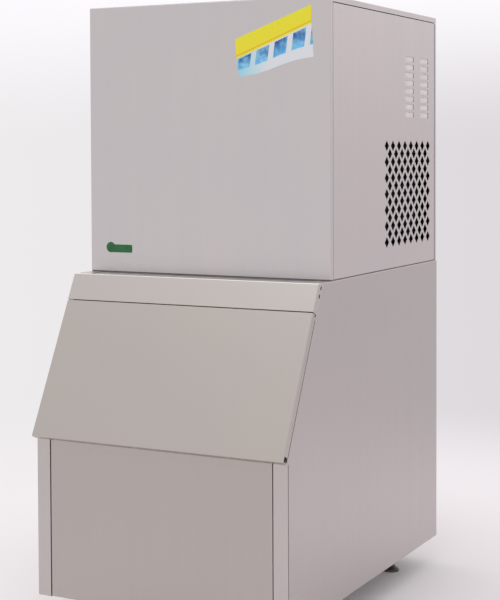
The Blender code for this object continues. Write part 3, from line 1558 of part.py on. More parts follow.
def suction_pipe(head):
    """From the upper end of the evaporator coil down to the compressor's side."""
    coil_x = EVAPORATOR_HALF_WIDTH - COIL_INSET
    y_start = PARTITION_BACK + COIL_RADIUS + FIT
    y_run = y_start + 4 * SUCTION_RADIUS
    z_top = coil_height(COIL_RUNS - 1)
    z_end = FLOOR_TOP + MOUNT_HEIGHT + COMPRESSOR_HEIGHT / 2
    route = [
        (coil_x, y_start, z_top),
        (coil_x, y_run, z_top),
        (COMPRESSOR_X, y_run, z_top),
        (COMPRESSOR_X, y_run, z_end),
        (COMPRESSOR_X, COMPRESSOR_Y - COMPRESSOR_RADIUS - FIT, z_end),
    ]
    mesh = pipe(rounded_path(route, 3 * SUCTION_RADIUS, 3), SUCTION_RADIUS)
    return add_piece("suction_pipe", mesh, "copper", head)


def liquid_pipe(head):
    """From the foot of the condenser by the filter drier to the lower end of the coil."""
    coil_x = EVAPORATOR_HALF_WIDTH - COIL_INSET
    y_start = PARTITION_BACK + COIL_RADIUS + FIT
    x_end = CONDENSER_OUT - CONDENSER_THICKNESS - FIT
    z_low = coil_height(0)
    y_end = CONDENSER_FRONT + SHEET
    z_end = CONDENSER_HIGH + SEAM
    route = [
        (coil_x, y_start, z_low),
        (coil_x, y_start + 3 * DRIER_RADIUS, z_low),
        (coil_x, y_start + 3 * DRIER_RADIUS, z_end + 4 * DRIER_RADIUS),
        (x_end + SHEET + CONDENSER_THICKNESS / 2, y_start + 3 * DRIER_RADIUS, z_end + 4 * DRIER_RADIUS),
        (x_end + SHEET + CONDENSER_THICKNESS / 2, y_start + 3 * DRIER_RADIUS, CONDENSER_HIGH + FIT),
    ]
    mesh = pipe(rounded_path(route, 3 * PIPE_RADIUS, 3), PIPE_RADIUS)
    piece = add_piece("liquid_pipe", mesh, "copper", head)
    middle = (z_low + z_end + 4 * DRIER_RADIUS) / 2
    x, y = coil_x, y_start + 3 * DRIER_RADIUS
    profile = [
        (x, y, middle - DRIER_LENGTH / 2),
        (x, y, middle + DRIER_LENGTH / 2),
    ]
    drier = rod(DRIER_RADIUS, *profile, 16)
    combine(piece, add_guide("filter_drier", drier, head), "UNION")
    return piece


# Services at the back


def water_inlet(head):
    """The inlet fitting on the back with its pipe through the partition to the fill valve."""
    back = HEAD_DEPTH + BACK_FITTING
    z = inlet_height()
    mesh = rod(PIPE_RADIUS, (VALVE_X, PARTITION_FRONT, z), (VALVE_X, back, z), 12)
    piece = add_piece("water_inlet", mesh, "nickel_plate", head)
    hexagon = rod(
        3 * PIPE_RADIUS,
        (VALVE_X, HEAD_DEPTH + FIT, z),
        (VALVE_X, HEAD_DEPTH + BACK_FITTING / 3, z),
        6,
    )
    thread = rod(
        2 * PIPE_RADIUS,
        (VALVE_X, HEAD_DEPTH + BACK_FITTING / 4, z),
        (VALVE_X, back - TINY, z),
        16,
    )
    combine(piece, add_guide("inlet_hexagon", hexagon, head), "UNION")
    combine(piece, add_guide("inlet_thread", thread, head), "UNION")
    return piece


def power_gland(head):
    """The gland for the supply cord, in its hole in the back panel."""
    outer = BACK_FITTING * GLAND_REACH_SHARE
    profile = [
        (0, outer),
        (GLAND_RADIUS * GLAND_TIP_SHARE, outer),
        (GLAND_RADIUS * GLAND_NUT_SHARE, BACK_FITTING / 2),
        (GLAND_RADIUS * GLAND_NUT_SHARE, FIT),
        (GLAND_RADIUS, FIT),
        (GLAND_RADIUS, -BACK_FLANGE / 2),
        (0, -BACK_FLANGE / 2),
    ]
    place = (VALVE_X, HEAD_DEPTH, GLAND_Z)
    piece = add_piece("power_gland", profile_line(profile), "black_rubber", head, place, (-pi / 2, 0, 0))
    spin(piece, 16)
    return piece


# The whole machine


def build_bin(base):
    for side, sign in SIDES.items():
        bin_side_panel(f"bin_side_panel_{side}", sign, base)
    bin_front_panel(base)
    bin_back_panel(base)
    bin_base_plate(base)
    bin_top_frame(base)
    bin_liner(base)
    bin_insulation(base)
    bin_drain_pipe(base)
    seat_gasket(base)
    for place, (x, y) in foot_places().items():
        foot(f"foot_{place}", x, y, base)


def build_slope(slope):
    bin_front_strip(slope)
    bin_opening_frame(slope)
    hinge = place_empty("lid_hinge_axis", (0, -HINGE_DOWN, HINGE_OUT), slope)
    for side, sign in SIDES.items():
        hinge_bracket(f"lid_hinge_bracket_{side}", sign, hinge)
    lid_shell(hinge)
    lid_foam_core(hinge)
    lid_inner_panel(hinge)
    lid_gasket(hinge)


def build_head(head):
    head_front_panel(head)
    head_left_panel(head)
    head_right_panel(head)
    head_back_panel(head)
    head_top_cover(head)
    head_front_pan(head)
    head_base_pan(head)
    head_partition(head)
    build_ice_maker(head)
    build_cooling(head)
    water_inlet(head)
    power_gland(head)


def build_ice_maker(head):
    ice_chute(head)
    water_trough(head)
    evaporator_plate(head)
    evaporator_coil(head)
    for side, sign in SIDES.items():
        evaporator_support(f"evaporator_support_{side}", sign, head)
    water_distributor(head)
    water_curtain(place_empty("curtain_axis", (0, CURTAIN_FRONT, curtain_pin_height()), head))
    pump_motor(head)
    pump_impeller(place_empty("pump_axis", (PUMP_X, pump_y(), 0), head))
    water_riser(head)
    float_valve(head)
    pivot = (VALVE_X, pump_y() - VALVE_BLOCK / 2, trough_top() + FIT + VALVE_BLOCK / 2)
    float_arm(place_empty("float_axis", pivot, head))


def build_cooling(head):
    compressor(head)
    for along_name, along in (("front", -1), ("back", 1)):
        for side, across in SIDES.items():
            compressor_mount(f"compressor_mount_{along_name}_{side}", across, along, head)
    condenser(head)
    fan_shroud(head)
    fan_axis = place_empty("fan_axis", (FAN_X, FAN_Y, FAN_Z), head)
    fan_axis.rotation_euler = (0, pi / 2, 0)
    condenser_fan(fan_axis)
    fan_motor(fan_axis)
    fan_motor_bracket(head)
    control_box(head)
    discharge_pipe(head)
    suction_pipe(head)
    liquid_pipe(head)


clear_scene()
PARTS = new_collection("ice_machine")
GUIDES = new_collection("guides")
HEAD_FRONT_Y = BACK_Y - BACK_FITTING - HEAD_DEPTH
BIN_EMPTY = place_empty("bin_frame", (0, HEAD_FRONT_Y, FOOT_HEIGHT))
SLOPE_EMPTY = place_empty("slope_frame", (0, -SLOPE_TOP_REACH, BIN_HEIGHT), BIN_EMPTY, pi / 2 - SLOPE_ANGLE)
HEAD_EMPTY = place_empty("head_frame", (0, 0, BIN_HEIGHT + SEAT_GAP), BIN_EMPTY)
build_bin(BIN_EMPTY)
build_slope(SLOPE_EMPTY)
build_head(HEAD_EMPTY)
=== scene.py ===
# %% [markdown]
# # Ice machine with a sloping lid
#
# The machine is two boxes. The head on top makes the ice: inside it, water runs over a chilled mould,
# and a compressor, a condenser and a fan carry the heat away through the openings on its right side.
# The bin below stores the ice behind insulated walls and a sloping lid.
#
# The solids come from the imported model, which fixes every size and joint. This lesson adds what the
# solids leave out: the finish of every sheet and moulding, the thin fins of the condenser, the threads
# of the feet, the screws at the back, the sealant under the head, dark bars of painted shade in the
# corner seams, a pale mat at the louvres that is painted light, and two adhesive labels.

import math

import bmesh
import bpy
from mathutils import Matrix, Vector


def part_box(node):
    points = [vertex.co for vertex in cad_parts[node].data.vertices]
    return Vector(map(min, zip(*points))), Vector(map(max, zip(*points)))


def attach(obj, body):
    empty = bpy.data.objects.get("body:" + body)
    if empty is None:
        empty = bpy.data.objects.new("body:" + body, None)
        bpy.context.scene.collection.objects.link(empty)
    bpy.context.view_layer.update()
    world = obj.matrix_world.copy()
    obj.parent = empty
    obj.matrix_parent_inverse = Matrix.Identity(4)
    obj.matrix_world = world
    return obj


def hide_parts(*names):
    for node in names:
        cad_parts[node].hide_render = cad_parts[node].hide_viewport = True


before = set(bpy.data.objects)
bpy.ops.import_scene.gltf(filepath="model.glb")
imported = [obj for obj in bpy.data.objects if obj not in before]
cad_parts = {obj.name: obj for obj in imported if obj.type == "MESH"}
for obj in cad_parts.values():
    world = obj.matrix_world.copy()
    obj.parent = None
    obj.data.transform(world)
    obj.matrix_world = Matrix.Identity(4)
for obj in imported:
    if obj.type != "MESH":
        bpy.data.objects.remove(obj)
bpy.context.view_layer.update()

# %% [markdown]
# ## The camera
#
# The photograph was taken from a little over lid height, from the machine's front right. Its upright
# edges stay nearly parallel, which an almost level camera with a shifted lens gives, as studio
# photographers use it for tall objects. The place, the turn and the focal length below were solved from
# the machine's own edges, so the render's outline falls on the photograph's.

# %% Camera
VIEW_YAW = 0.4812
VIEW_DIP = 0.0347
VIEW_ROLL = -0.0041
VIEW_PLACE = (1.6845, -3.2274, 1.1279)
FOCAL_PIXELS = 1443.7
FRAME_HEIGHT = 600
HORIZON_SHIFT = -0.1707

forward = Vector(
    (
        -math.sin(VIEW_YAW) * math.cos(VIEW_DIP),
        math.cos(VIEW_YAW) * math.cos(VIEW_DIP),
        -math.sin(VIEW_DIP),
    )
)
level_right = forward.cross(Vector((0, 0, 1))).normalized()
level_up = level_right.cross(forward)
right = level_right * math.cos(VIEW_ROLL) + level_up * math.sin(VIEW_ROLL)
up = level_up * math.cos(VIEW_ROLL) - level_right * math.sin(VIEW_ROLL)
lens = bpy.data.cameras.new("studio_lens")
lens.sensor_width = 36
lens.lens = FOCAL_PIXELS * lens.sensor_width / FRAME_HEIGHT
lens.shift_y = HORIZON_SHIFT
camera = bpy.data.objects.new("studio_camera", lens)
camera.rotation_euler = Matrix((right, up, -forward)).transposed().to_euler()
camera.location = VIEW_PLACE
bpy.context.scene.collection.objects.link(camera)
bpy.context.scene.camera = camera
print("lens:", round(lens.lens, 1), "mm, shift", lens.shift_y)

# %% [markdown]
# ## Small tools for the finishes
#
# Every finish below is a node tree, and the trees share a few steps: arithmetic on a value, noise that
# is stretched along a grain, a value brought into a range, a colour between two others. A short function
# for each keeps the cells of the finishes about the finish. All patterns read Object coordinates, so
# they stay on the piece when it moves and come out the same in a baked texture.

# %% Steps that finishes share


def node_material(name):
    """A new material with its shader tree."""
    material = bpy.data.materials.new(name)
    material.use_nodes = True
    return material, material.node_tree, material.node_tree.nodes["Principled BSDF"]


def feed(tree, value, slot):
    """Gives a slot a number, a colour or another node's output."""
    if isinstance(value, bpy.types.NodeSocket):
        tree.links.new(value, slot)
    elif isinstance(value, tuple) and len(slot.default_value) == 4:
        slot.default_value = (*value, 1)
    else:
        slot.default_value = value


def sum_up(tree, kind, first, second=0.0, third=0.0):
    """A Math node on numbers or sockets."""
    made = tree.nodes.new("ShaderNodeMath")
    made.operation = kind
    for slot, value in zip(made.inputs, (first, second, third)):
        feed(tree, value, slot)
    return made.outputs[0]


def object_place(tree):
    """The Object coordinates, whole and as X, Y and Z."""
    place = tree.nodes.new("ShaderNodeTexCoord")
    apart = tree.nodes.new("ShaderNodeSeparateXYZ")
    tree.links.new(place.outputs["Object"], apart.inputs[0])
    return place.outputs["Object"], apart.outputs


def grain_space(tree, across, along, across_scale, along_scale):
    """Coordinates that are squeezed across the grain and stretched along it."""
    axes = object_place(tree)[1]
    together = tree.nodes.new("ShaderNodeCombineXYZ")
    feed(tree, sum_up(tree, "MULTIPLY", axes[across], across_scale), together.inputs[0])
    feed(tree, sum_up(tree, "MULTIPLY", axes[along], along_scale), together.inputs[1])
    return together.outputs[0]


def noise(tree, space, detail, roughness, scale=1.0):
    """Noise at a place, as a value about 0.5."""
    made = tree.nodes.new("ShaderNodeTexNoise")
    made.inputs["Scale"].default_value = scale
    made.inputs["Detail"].default_value = detail
    made.inputs["Roughness"].default_value = roughness
    tree.links.new(space, made.inputs["Vector"])
    return made.outputs["Fac"]


def spread(tree, value, low, high, start=0.25, end=0.75, soft=False):
    """Brings a value from one range into another."""
    made = tree.nodes.new("ShaderNodeMapRange")
    made.interpolation_type = "SMOOTHSTEP" if soft else "LINEAR"
    for label, number in (("From Min", start), ("From Max", end), ("To Min", low), ("To Max", high)):
        made.inputs[label].default_value = number
    tree.links.new(value, made.inputs["Value"])
    return made.outputs["Result"]


def blend_colors(tree, amount, first, second):
    """A colour between two, by an amount from 0 to 1."""
    made = tree.nodes.new("ShaderNodeMix")
    made.data_type = "RGBA"
    feed(tree, amount, made.inputs["Factor"])
    feed(tree, first, made.inputs[6])
    feed(tree, second, made.inputs[7])
    return made.outputs[2]


def relief(tree, shader, height, strength, depth):
    """Bump from a height, where depth is its real size in metres."""
    bump = tree.nodes.new("ShaderNodeBump")
    bump.inputs["Strength"].default_value = strength
    bump.inputs["Distance"].default_value = depth
    tree.links.new(height, bump.inputs["Height"])
    tree.links.new(bump.outputs["Normal"], shader.inputs["Normal"])


print("finish steps ready")

# %% [markdown]
# ## Floor and sky
#
# A product studio shows neither walls nor corners. Here one flat pale floor runs far out and, with
# distance, turns into the colour that the sky has at the horizon, so no edge shows from any side. Near
# the machine the floor is matt paper and keeps the machine's shadow; the paper is painted lighter towards
# the picture's right, which is painted light that thins the shadow there. Brushed metal has hardly
# any colour of its own and mirrors the room, so the far floor and the sky look the same to the metal
# as they do to the camera.

# %% Floor
FLOOR_HALF = 60.0
# The paper's right-hand tone is lighter: painted light that thins the machine's shadow there.
PAPER_LEFT = (0.86, 0.835, 0.85)
PAPER_RIGHT_PAINTED_LIGHT = (0.94, 0.90, 0.925)
PAPER_LIGHT_TURN = (-1.3, 1.7)
HORIZON_LEFT = (0.85, 0.835, 0.845)
HORIZON_RIGHT = (0.73, 0.70, 0.725)
ZENITH_LEFT = (0.99, 0.97, 1.0)
ZENITH_RIGHT = (1.0, 0.975, 1.0)
HORIZON_TURN = (-0.2, 0.2)
FADE_START = 1.0
FADE_END = 2.8


def seen_directly(tree):
    """One for rays of the camera and of mirrors and glass, and zero for light."""
    ray = tree.nodes.new("ShaderNodeLightPath")
    seen = sum_up(tree, "MAXIMUM", ray.outputs["Is Glossy Ray"], ray.outputs["Is Transmission Ray"])
    return sum_up(tree, "MAXIMUM", seen, ray.outputs["Is Camera Ray"])


def show(name, mesh, *materials):
    """An object for a mesh that already holds its place."""
    piece = bpy.data.objects.new(name, mesh)
    for material in materials:
        piece.data.materials.append(material)
    bpy.context.scene.collection.objects.link(piece)
    return piece


def sideways_of(tree, way):
    """How far a direction points to the picture's right, as 0 to 1."""
    measure = tree.nodes.new("ShaderNodeVectorMath")
    measure.operation = "DOT_PRODUCT"
    tree.links.new(way, measure.inputs[0])
    measure.inputs[1].default_value = level_right
    return spread(tree, measure.outputs["Value"], 0.0, 1.0, *HORIZON_TURN, True)


paper, tree, shader = node_material("studio_paper")
place, axes = object_place(tree)
over = sum_up(tree, "MULTIPLY", axes["X"], level_right.x)
sideways = sum_up(tree, "ADD", over, sum_up(tree, "MULTIPLY", axes["Y"], level_right.y))
# Painted light: the paper turns lighter towards the picture's right, where the machine's shadow falls.
turn = spread(tree, sideways, 0.0, 1.0, *PAPER_LIGHT_TURN, True)
feed(tree, blend_colors(tree, turn, PAPER_LEFT, PAPER_RIGHT_PAINTED_LIGHT), shader.inputs["Base Color"])
shader.inputs["Roughness"].default_value = 0.9
shader.inputs["Specular IOR Level"].default_value = 0.1
away = tree.nodes.new("ShaderNodeVectorMath")
away.operation = "LENGTH"
tree.links.new(place, away.inputs[0])
fade = spread(tree, away.outputs["Value"], 0.0, 1.0, FADE_START, FADE_END, True)
from_lens = tree.nodes.new("ShaderNodeVectorMath")
from_lens.operation = "SUBTRACT"
tree.links.new(place, from_lens.inputs[0])
from_lens.inputs[1].default_value = VIEW_PLACE
unit = tree.nodes.new("ShaderNodeVectorMath")
unit.operation = "NORMALIZE"
tree.links.new(from_lens.outputs[0], unit.inputs[0])
glow = tree.nodes.new("ShaderNodeEmission")
horizon = blend_colors(tree, sideways_of(tree, unit.outputs[0]), HORIZON_LEFT, HORIZON_RIGHT)
feed(tree, horizon, glow.inputs["Color"])
choose = tree.nodes.new("ShaderNodeMixShader")
feed(tree, sum_up(tree, "MULTIPLY", fade, seen_directly(tree)), choose.inputs["Fac"])
tree.links.new(shader.outputs[0], choose.inputs[1])
tree.links.new(glow.outputs[0], choose.inputs[2])
tree.links.new(choose.outputs[0], tree.nodes["Material Output"].inputs["Surface"])

floor_mesh = bpy.data.meshes.new("studio_floor")
floor_corners = [
    (-FLOOR_HALF, -FLOOR_HALF, 0),
    (FLOOR_HALF, -FLOOR_HALF, 0),
    (FLOOR_HALF, FLOOR_HALF, 0),
    (-FLOOR_HALF, FLOOR_HALF, 0),
]
floor_mesh.from_pydata(floor_corners, [], [(0, 1, 2, 3)])
studio_floor = show("studio_floor", floor_mesh, paper)
print("floor:", 2 * FLOOR_HALF, "m wide")

# %% Sky and lamps
SKY_LIGHT = 0.92
SKY_RISE = 0.12
SKY_BEHIND = (-0.2, 0.4)
LAMP_PLACE = (-0.9, -1.0, 4.8)
LAMP_AIM = (0, 0, 0.8)
LAMP_SIDE = 3.2
LAMP_POWER = 48

world = bpy.data.worlds.new("studio")
bpy.context.scene.world = world
world.use_nodes = True
tree = world.node_tree
tree.nodes.clear()
direction = tree.nodes.new("ShaderNodeTexCoord")
apart = tree.nodes.new("ShaderNodeSeparateXYZ")
tree.links.new(direction.outputs["Generated"], apart.inputs[0])
lighting = tree.nodes.new("ShaderNodeBackground")
lighting.inputs["Color"].default_value = (1.0, 0.985, 0.99, 1)
lighting.inputs["Strength"].default_value = SKY_LIGHT
seen_sky = tree.nodes.new("ShaderNodeBackground")
behind = spread(tree, apart.outputs["Y"], 0.0, 1.0, *SKY_BEHIND, True)
rise = sum_up(tree, "MULTIPLY", spread(tree, apart.outputs["Z"], 0.0, 1.0, 0.0, SKY_RISE, True), behind)
turn = sideways_of(tree, direction.outputs["Generated"])
horizon = blend_colors(tree, turn, HORIZON_LEFT, HORIZON_RIGHT)
zenith = blend_colors(tree, turn, ZENITH_LEFT, ZENITH_RIGHT)
feed(tree, blend_colors(tree, rise, horizon, zenith), seen_sky.inputs["Color"])
choose = tree.nodes.new("ShaderNodeMixShader")
feed(tree, seen_directly(tree), choose.inputs["Fac"])
tree.links.new(lighting.outputs[0], choose.inputs[1])
tree.links.new(seen_sky.outputs[0], choose.inputs[2])
result = tree.nodes.new("ShaderNodeOutputWorld")
tree.links.new(choose.outputs[0], result.inputs["Surface"])


def soft_box(name, place, aim, width, height, power):
    """A large lamp with a cloth front, turned to what it lights."""
    lamp = bpy.data.lights.new(name, "AREA")
    lamp.shape = "RECTANGLE"
    lamp.size, lamp.size_y = width, height
    lamp.energy = power
    holder = bpy.data.objects.new(name, lamp)
    holder.location = place
    holder.rotation_euler = (Vector(aim) - Vector(place)).to_track_quat("-Z", "Y").to_euler()
    bpy.context.scene.collection.objects.link(holder)
    return holder


soft_box("top_soft_box", LAMP_PLACE, LAMP_AIM, LAMP_SIDE, LAMP_SIDE, LAMP_POWER)
bpy.context.scene.view_settings.view_transform = "Standard"
print("sky", SKY_LIGHT, "horizon", HORIZON_LEFT, HORIZON_RIGHT)

# %% [markdown]
# ## Satin stainless steel
#
# The casing is thin stainless sheet with a fine grain that the mill rolls into it. From a step away
# the grain only spreads reflections and leaves faint stripes; close up it is a mass of hair lines that
# all run one way. A noise texture that is stretched along the grain gives both: once at hair size for
# the roughness and the bump, and once in wide bands for the stripes. A third, round noise carries the
# slight warm and cool clouds of handled steel. Each sheet keeps its grain along its own length, so the
# finish is made once for every direction the grain can run.
#
# The flat ledge on top of the fixed strip lies under the top light and carries a painted highlight: its steel
# is paler and scatters more than the rest of the strip, so it reads as a bright line below the head.
#
# The inner side of the head's sheets is coloured near black as painted shade; it is what one sees in the
# narrow joints and past the grille. The bin's inner rims get a grey painted shade. Each inner side is told
# from the outer side by where the sheet lies and how it faces.

# %% Steel
HAIR_SCALE = 900.0
BAND_SCALE = 34.0
ALONG_SCALE = 3.0
SKIN = 0.0005
# Painted shade: near black for the inner side of the head's sheets, grey for the bin's inner rims.
HEAD_INNER_PAINTED_SHADE = (0.022, 0.020, 0.020)
BIN_INNER_PAINTED_SHADE = (0.40, 0.385, 0.37)
# A painted highlight for the strip's top ledge: paler steel, made less metallic.
LEDGE_PAINTED_HIGHLIGHT = (0.96, 0.95, 0.92)
LEDGE_HIGHLIGHT_DULLING = 0.8
SIDEWAYS_FACE = 0.08


def between(tree, value, low, high):
    """One where a value lies in a range, else zero."""
    return sum_up(tree, "COMPARE", value, (low + high) / 2, (high - low) / 2)


def inner_side(tree, shell):
    """One on faces that lie inside the shell's outer planes and don't face out sideways."""
    low, high = shell
    axes = object_place(tree)[1]
    inside = between(tree, axes["X"], low[0] + SKIN, high[0] - SKIN)
    inside = sum_up(tree, "MULTIPLY", inside, between(tree, axes["Y"], low[1] + SKIN, high[1] - SKIN))
    inside = sum_up(tree, "MULTIPLY", inside, between(tree, axes["Z"], low[2] - SKIN, high[2] - SKIN))
    facing = tree.nodes.new("ShaderNodeNewGeometry")
    apart = tree.nodes.new("ShaderNodeSeparateXYZ")
    tree.links.new(facing.outputs["Normal"], apart.inputs[0])
    outward = sum_up(tree, "MULTIPLY", apart.outputs["X"], sum_up(tree, "SIGN", axes["X"]))
    return sum_up(tree, "MULTIPLY", inside, sum_up(tree, "LESS_THAN", outward, SIDEWAYS_FACE))


def rolled_steel(name, across, along, warm, cool, shell=None, inner_shade=HEAD_INNER_PAINTED_SHADE):
    """Satin sheet whose grain runs along one axis, with painted shade on its inner side."""
    material, tree, steel = node_material(name)
    hair = noise(tree, grain_space(tree, across, along, HAIR_SCALE, ALONG_SCALE * 2), 2.0, 0.6)
    bands = noise(tree, grain_space(tree, across, along, BAND_SCALE, ALONG_SCALE / 6), 3.0, 0.6)
    clouds = noise(tree, object_place(tree)[0], 2.0, 0.5, 3.2)
    tone = sum_up(tree, "ADD", spread(tree, clouds, 0.05, 0.75), spread(tree, bands, -0.22, 0.22))
    color = blend_colors(tree, tone, warm, cool)
    roughness = sum_up(tree, "ADD", spread(tree, hair, 0.30, 0.42), spread(tree, bands, -0.03, 0.03))
    # Painted shade: faces inside the shell are darkened and made duller.
    if shell:
        inner = inner_side(tree, shell)
        color = blend_colors(tree, inner, color, inner_shade)
        roughness = sum_up(tree, "ADD", roughness, sum_up(tree, "MULTIPLY", inner, 0.25))
    steel.inputs["Metallic"].default_value = 1.0
    feed(tree, color, steel.inputs["Base Color"])
    feed(tree, roughness, steel.inputs["Roughness"])
    relief(tree, steel, hair, 0.25, 0.00004)
    return material


def refinish(material, *names):
    """Puts one material on whole nodes."""
    for name in names:
        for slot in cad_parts[name].material_slots:
            slot.material = material
    print(material.name + ":", ", ".join(names))


# %% Steel of the head
front_low, front_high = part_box("head_front_panel")
back_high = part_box("head_back_panel")[1]
head_shell = (tuple(front_low), (front_high.x, back_high.y, front_high.z))
head_front_tones = (0.640, 0.594, 0.590), (0.612, 0.582, 0.600)
head_side_tones = (0.650, 0.590, 0.580), (0.622, 0.584, 0.592)
head_steel_front = rolled_steel("steel_head_front", "X", "Z", *head_front_tones, head_shell)
head_steel_side = rolled_steel("steel_head_side", "Y", "Z", *head_side_tones, head_shell)
head_steel_top = rolled_steel("steel_head_top", "X", "Y", *head_side_tones, head_shell)
refinish(head_steel_front, "head_front_panel", "head_back_panel")
refinish(head_steel_side, "head_right_panel", "head_left_panel")
refinish(head_steel_top, "head_top_cover")

# %% Steel of the bin
side_low, side_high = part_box("bin_side_panel_right")
bin_shell = ((-side_high.x, side_low.y, side_low.z), tuple(side_high))
# The bin's sheets are the same steel as the head's; their darker, warmer tones are painted shade.
bin_front_shaded_tones = (0.490, 0.446, 0.416), (0.478, 0.444, 0.432)
bin_side_shaded_tones = (0.555, 0.505, 0.490), (0.538, 0.502, 0.503)
lid_shaded_tones = (0.530, 0.488, 0.450), (0.514, 0.476, 0.460)
strip_shaded_tones = (0.575, 0.535, 0.500), (0.560, 0.522, 0.512)
bin_steel_front = rolled_steel("steel_bin_front", "X", "Z", *bin_front_shaded_tones)
bin_steel_side = rolled_steel("steel_bin_side", "Y", "Z", *bin_side_shaded_tones, bin_shell, BIN_INNER_PAINTED_SHADE)
lid_steel = rolled_steel("steel_lid", "X", "Z", *lid_shaded_tones)
strip_steel = rolled_steel("steel_strip", "X", "Z", *strip_shaded_tones)
refinish(bin_steel_front, "bin_front_panel", "bin_back_panel")
refinish(bin_steel_side, "bin_side_panel_left", "bin_side_panel_right")
refinish(lid_steel, "lid_shell")
tree = strip_steel.node_tree
steel = tree.nodes["Principled BSDF"]
strip_color = steel.inputs["Base Color"].links[0].from_socket
# Painted highlight: the strip's top ledge gets paler, less metallic steel.
ledge_highlight_mask = sum_up(tree, "GREATER_THAN", object_place(tree)[1]["Z"], side_high.z - SKIN)
feed(tree, blend_colors(tree, ledge_highlight_mask, strip_color, LEDGE_PAINTED_HIGHLIGHT), steel.inputs["Base Color"])
highlight_dulling = sum_up(tree, "MULTIPLY", ledge_highlight_mask, LEDGE_HIGHLIGHT_DULLING)
feed(tree, sum_up(tree, "SUBTRACT", 1.0, highlight_dulling), steel.inputs["Metallic"])
refinish(strip_steel, "bin_front_strip")

# %% [markdown]
# ## Plain zinc-coated sheet
#
# The trays and frames that nobody sees from outside are of zinc-coated sheet. When the zinc sets, it
# forms flat crystals, and each of them mirrors the light a little differently. A Voronoi texture gives
# such a mosaic: every cell takes one random grey.

# %% Zinc-coated sheet
SPANGLE_SCALE = 95.0

zinc_trays, tree, sheet = node_material("zinc_trays")
place = object_place(tree)[0]
cells = tree.nodes.new("ShaderNodeTexVoronoi")
cells.inputs["Scale"].default_value = SPANGLE_SCALE
tree.links.new(place, cells.inputs["Vector"])
apart = tree.nodes.new("ShaderNodeSeparateColor")
tree.links.new(cells.outputs["Color"], apart.inputs[0])
stain = noise(tree, place, 3.0, 0.6, 9.0)
tone = sum_up(tree, "ADD", sum_up(tree, "MULTIPLY", apart.outputs[0], 0.55), spread(tree, stain, 0.0, 0.45))
sheet.inputs["Metallic"].default_value = 1.0
feed(tree, blend_colors(tree, tone, (0.44, 0.44, 0.44), (0.60, 0.61, 0.62)), sheet.inputs["Base Color"])
feed(tree, spread(tree, tone, 0.36, 0.52, 0.0, 1.0), sheet.inputs["Roughness"])
relief(tree, sheet, cells.outputs["Distance"], 0.08, 0.00005)
refinish(zinc_trays, "head_base_pan", "head_front_pan", "bin_base_plate", "bin_top_frame", "control_box")

# %% [markdown]
# ## The steel that touches the ice
#
# The store and the inside of the lid are of plain stainless sheet with a duller, rounder finish than
# the casing, and meltwater leaves faint runs on it from top to bottom. The runs are noise that is
# stretched upright.

# %% Liner steel
liner_steel, tree, sheet = node_material("liner_steel_satin")
place = object_place(tree)[0]
runs = noise(tree, grain_space(tree, "X", "Z", 55.0, 2.2), 3.0, 0.6)
stains = noise(tree, place, 4.0, 0.6, 7.0)
tone = sum_up(tree, "ADD", spread(tree, runs, 0.0, 0.5), spread(tree, stains, 0.0, 0.5))
sheet.inputs["Metallic"].default_value = 1.0
feed(tree, blend_colors(tree, tone, (0.56, 0.555, 0.54), (0.68, 0.675, 0.665)), sheet.inputs["Base Color"])
feed(tree, spread(tree, runs, 0.32, 0.46), sheet.inputs["Roughness"])
relief(tree, sheet, noise(tree, place, 2.0, 0.5, 650.0), 0.12, 0.00004)
refinish(liner_steel, "bin_liner", "lid_inner_panel")

# %% [markdown]
# ## Foam, rubber and moulded parts
#
# Rigid foam is a mass of tiny cells under a thin skin, yellow where it is fresh and browner where air
# has reached it. Moulded plastic has a fine spark-eroded grain from its mould and slightly uneven gloss.
# Rubber is dark, dull and dusty. Plastic and rubber share one recipe with other numbers: a colour that
# wanders between two tones, a roughness that wanders with it, and a fine relief.

# %% Moulded finishes


def moulding(name, first, second, rough, grain_scale, grain_depth, wander=6.0, specular=0.5):
    """A matt body whose colour and gloss wander a little, with a fine relief."""
    material, tree, body = node_material(name)
    place = object_place(tree)[0]
    slow = noise(tree, place, 4.0, 0.6, wander)
    fine = noise(tree, place, 2.0, 0.55, grain_scale)
    tone = sum_up(tree, "ADD", spread(tree, slow, 0.0, 0.75), spread(tree, fine, 0.0, 0.25))
    feed(tree, blend_colors(tree, tone, first, second), body.inputs["Base Color"])
    feed(tree, spread(tree, tone, *rough, 0.0, 1.0), body.inputs["Roughness"])
    body.inputs["Specular IOR Level"].default_value = specular
    relief(tree, body, fine, 0.35, grain_depth)
    return material


white_tones = (0.70, 0.71, 0.70), (0.80, 0.81, 0.80)
white_moulding = moulding("white_moulding", *white_tones, (0.30, 0.46), 1400, 0.00006)
grey_moulding = moulding("grey_moulding", (0.20, 0.21, 0.22), (0.28, 0.29, 0.30), (0.36, 0.52), 1100, 0.00008)
rubber_tones = (0.022, 0.022, 0.023), (0.058, 0.056, 0.054)
dull_rubber = moulding("dull_rubber", *rubber_tones, (0.58, 0.80), 900, 0.0001, 14.0, 0.3)
gap_tones = (0.11, 0.10, 0.095), (0.17, 0.155, 0.145)
gap_foam = moulding("grey_gap_foam", *gap_tones, (0.80, 0.95), 700, 0.0002, 20.0, 0.2)
refinish(
    white_moulding, "bin_drain_pipe", "bin_opening_frame", "evaporator_support_left",
    "evaporator_support_right", "float_arm", "float_valve", "head_partition", "ice_chute",
    "water_curtain", "water_distributor", "water_riser", "water_trough",
)
refinish(grey_moulding, "pump_impeller", "pump_motor")
refinish(
    dull_rubber, "compressor_mount_back_left", "compressor_mount_back_right", "compressor_mount_front_left",
    "compressor_mount_front_right", "lid_gasket", "power_gland",
)
refinish(gap_foam, "seat_gasket")

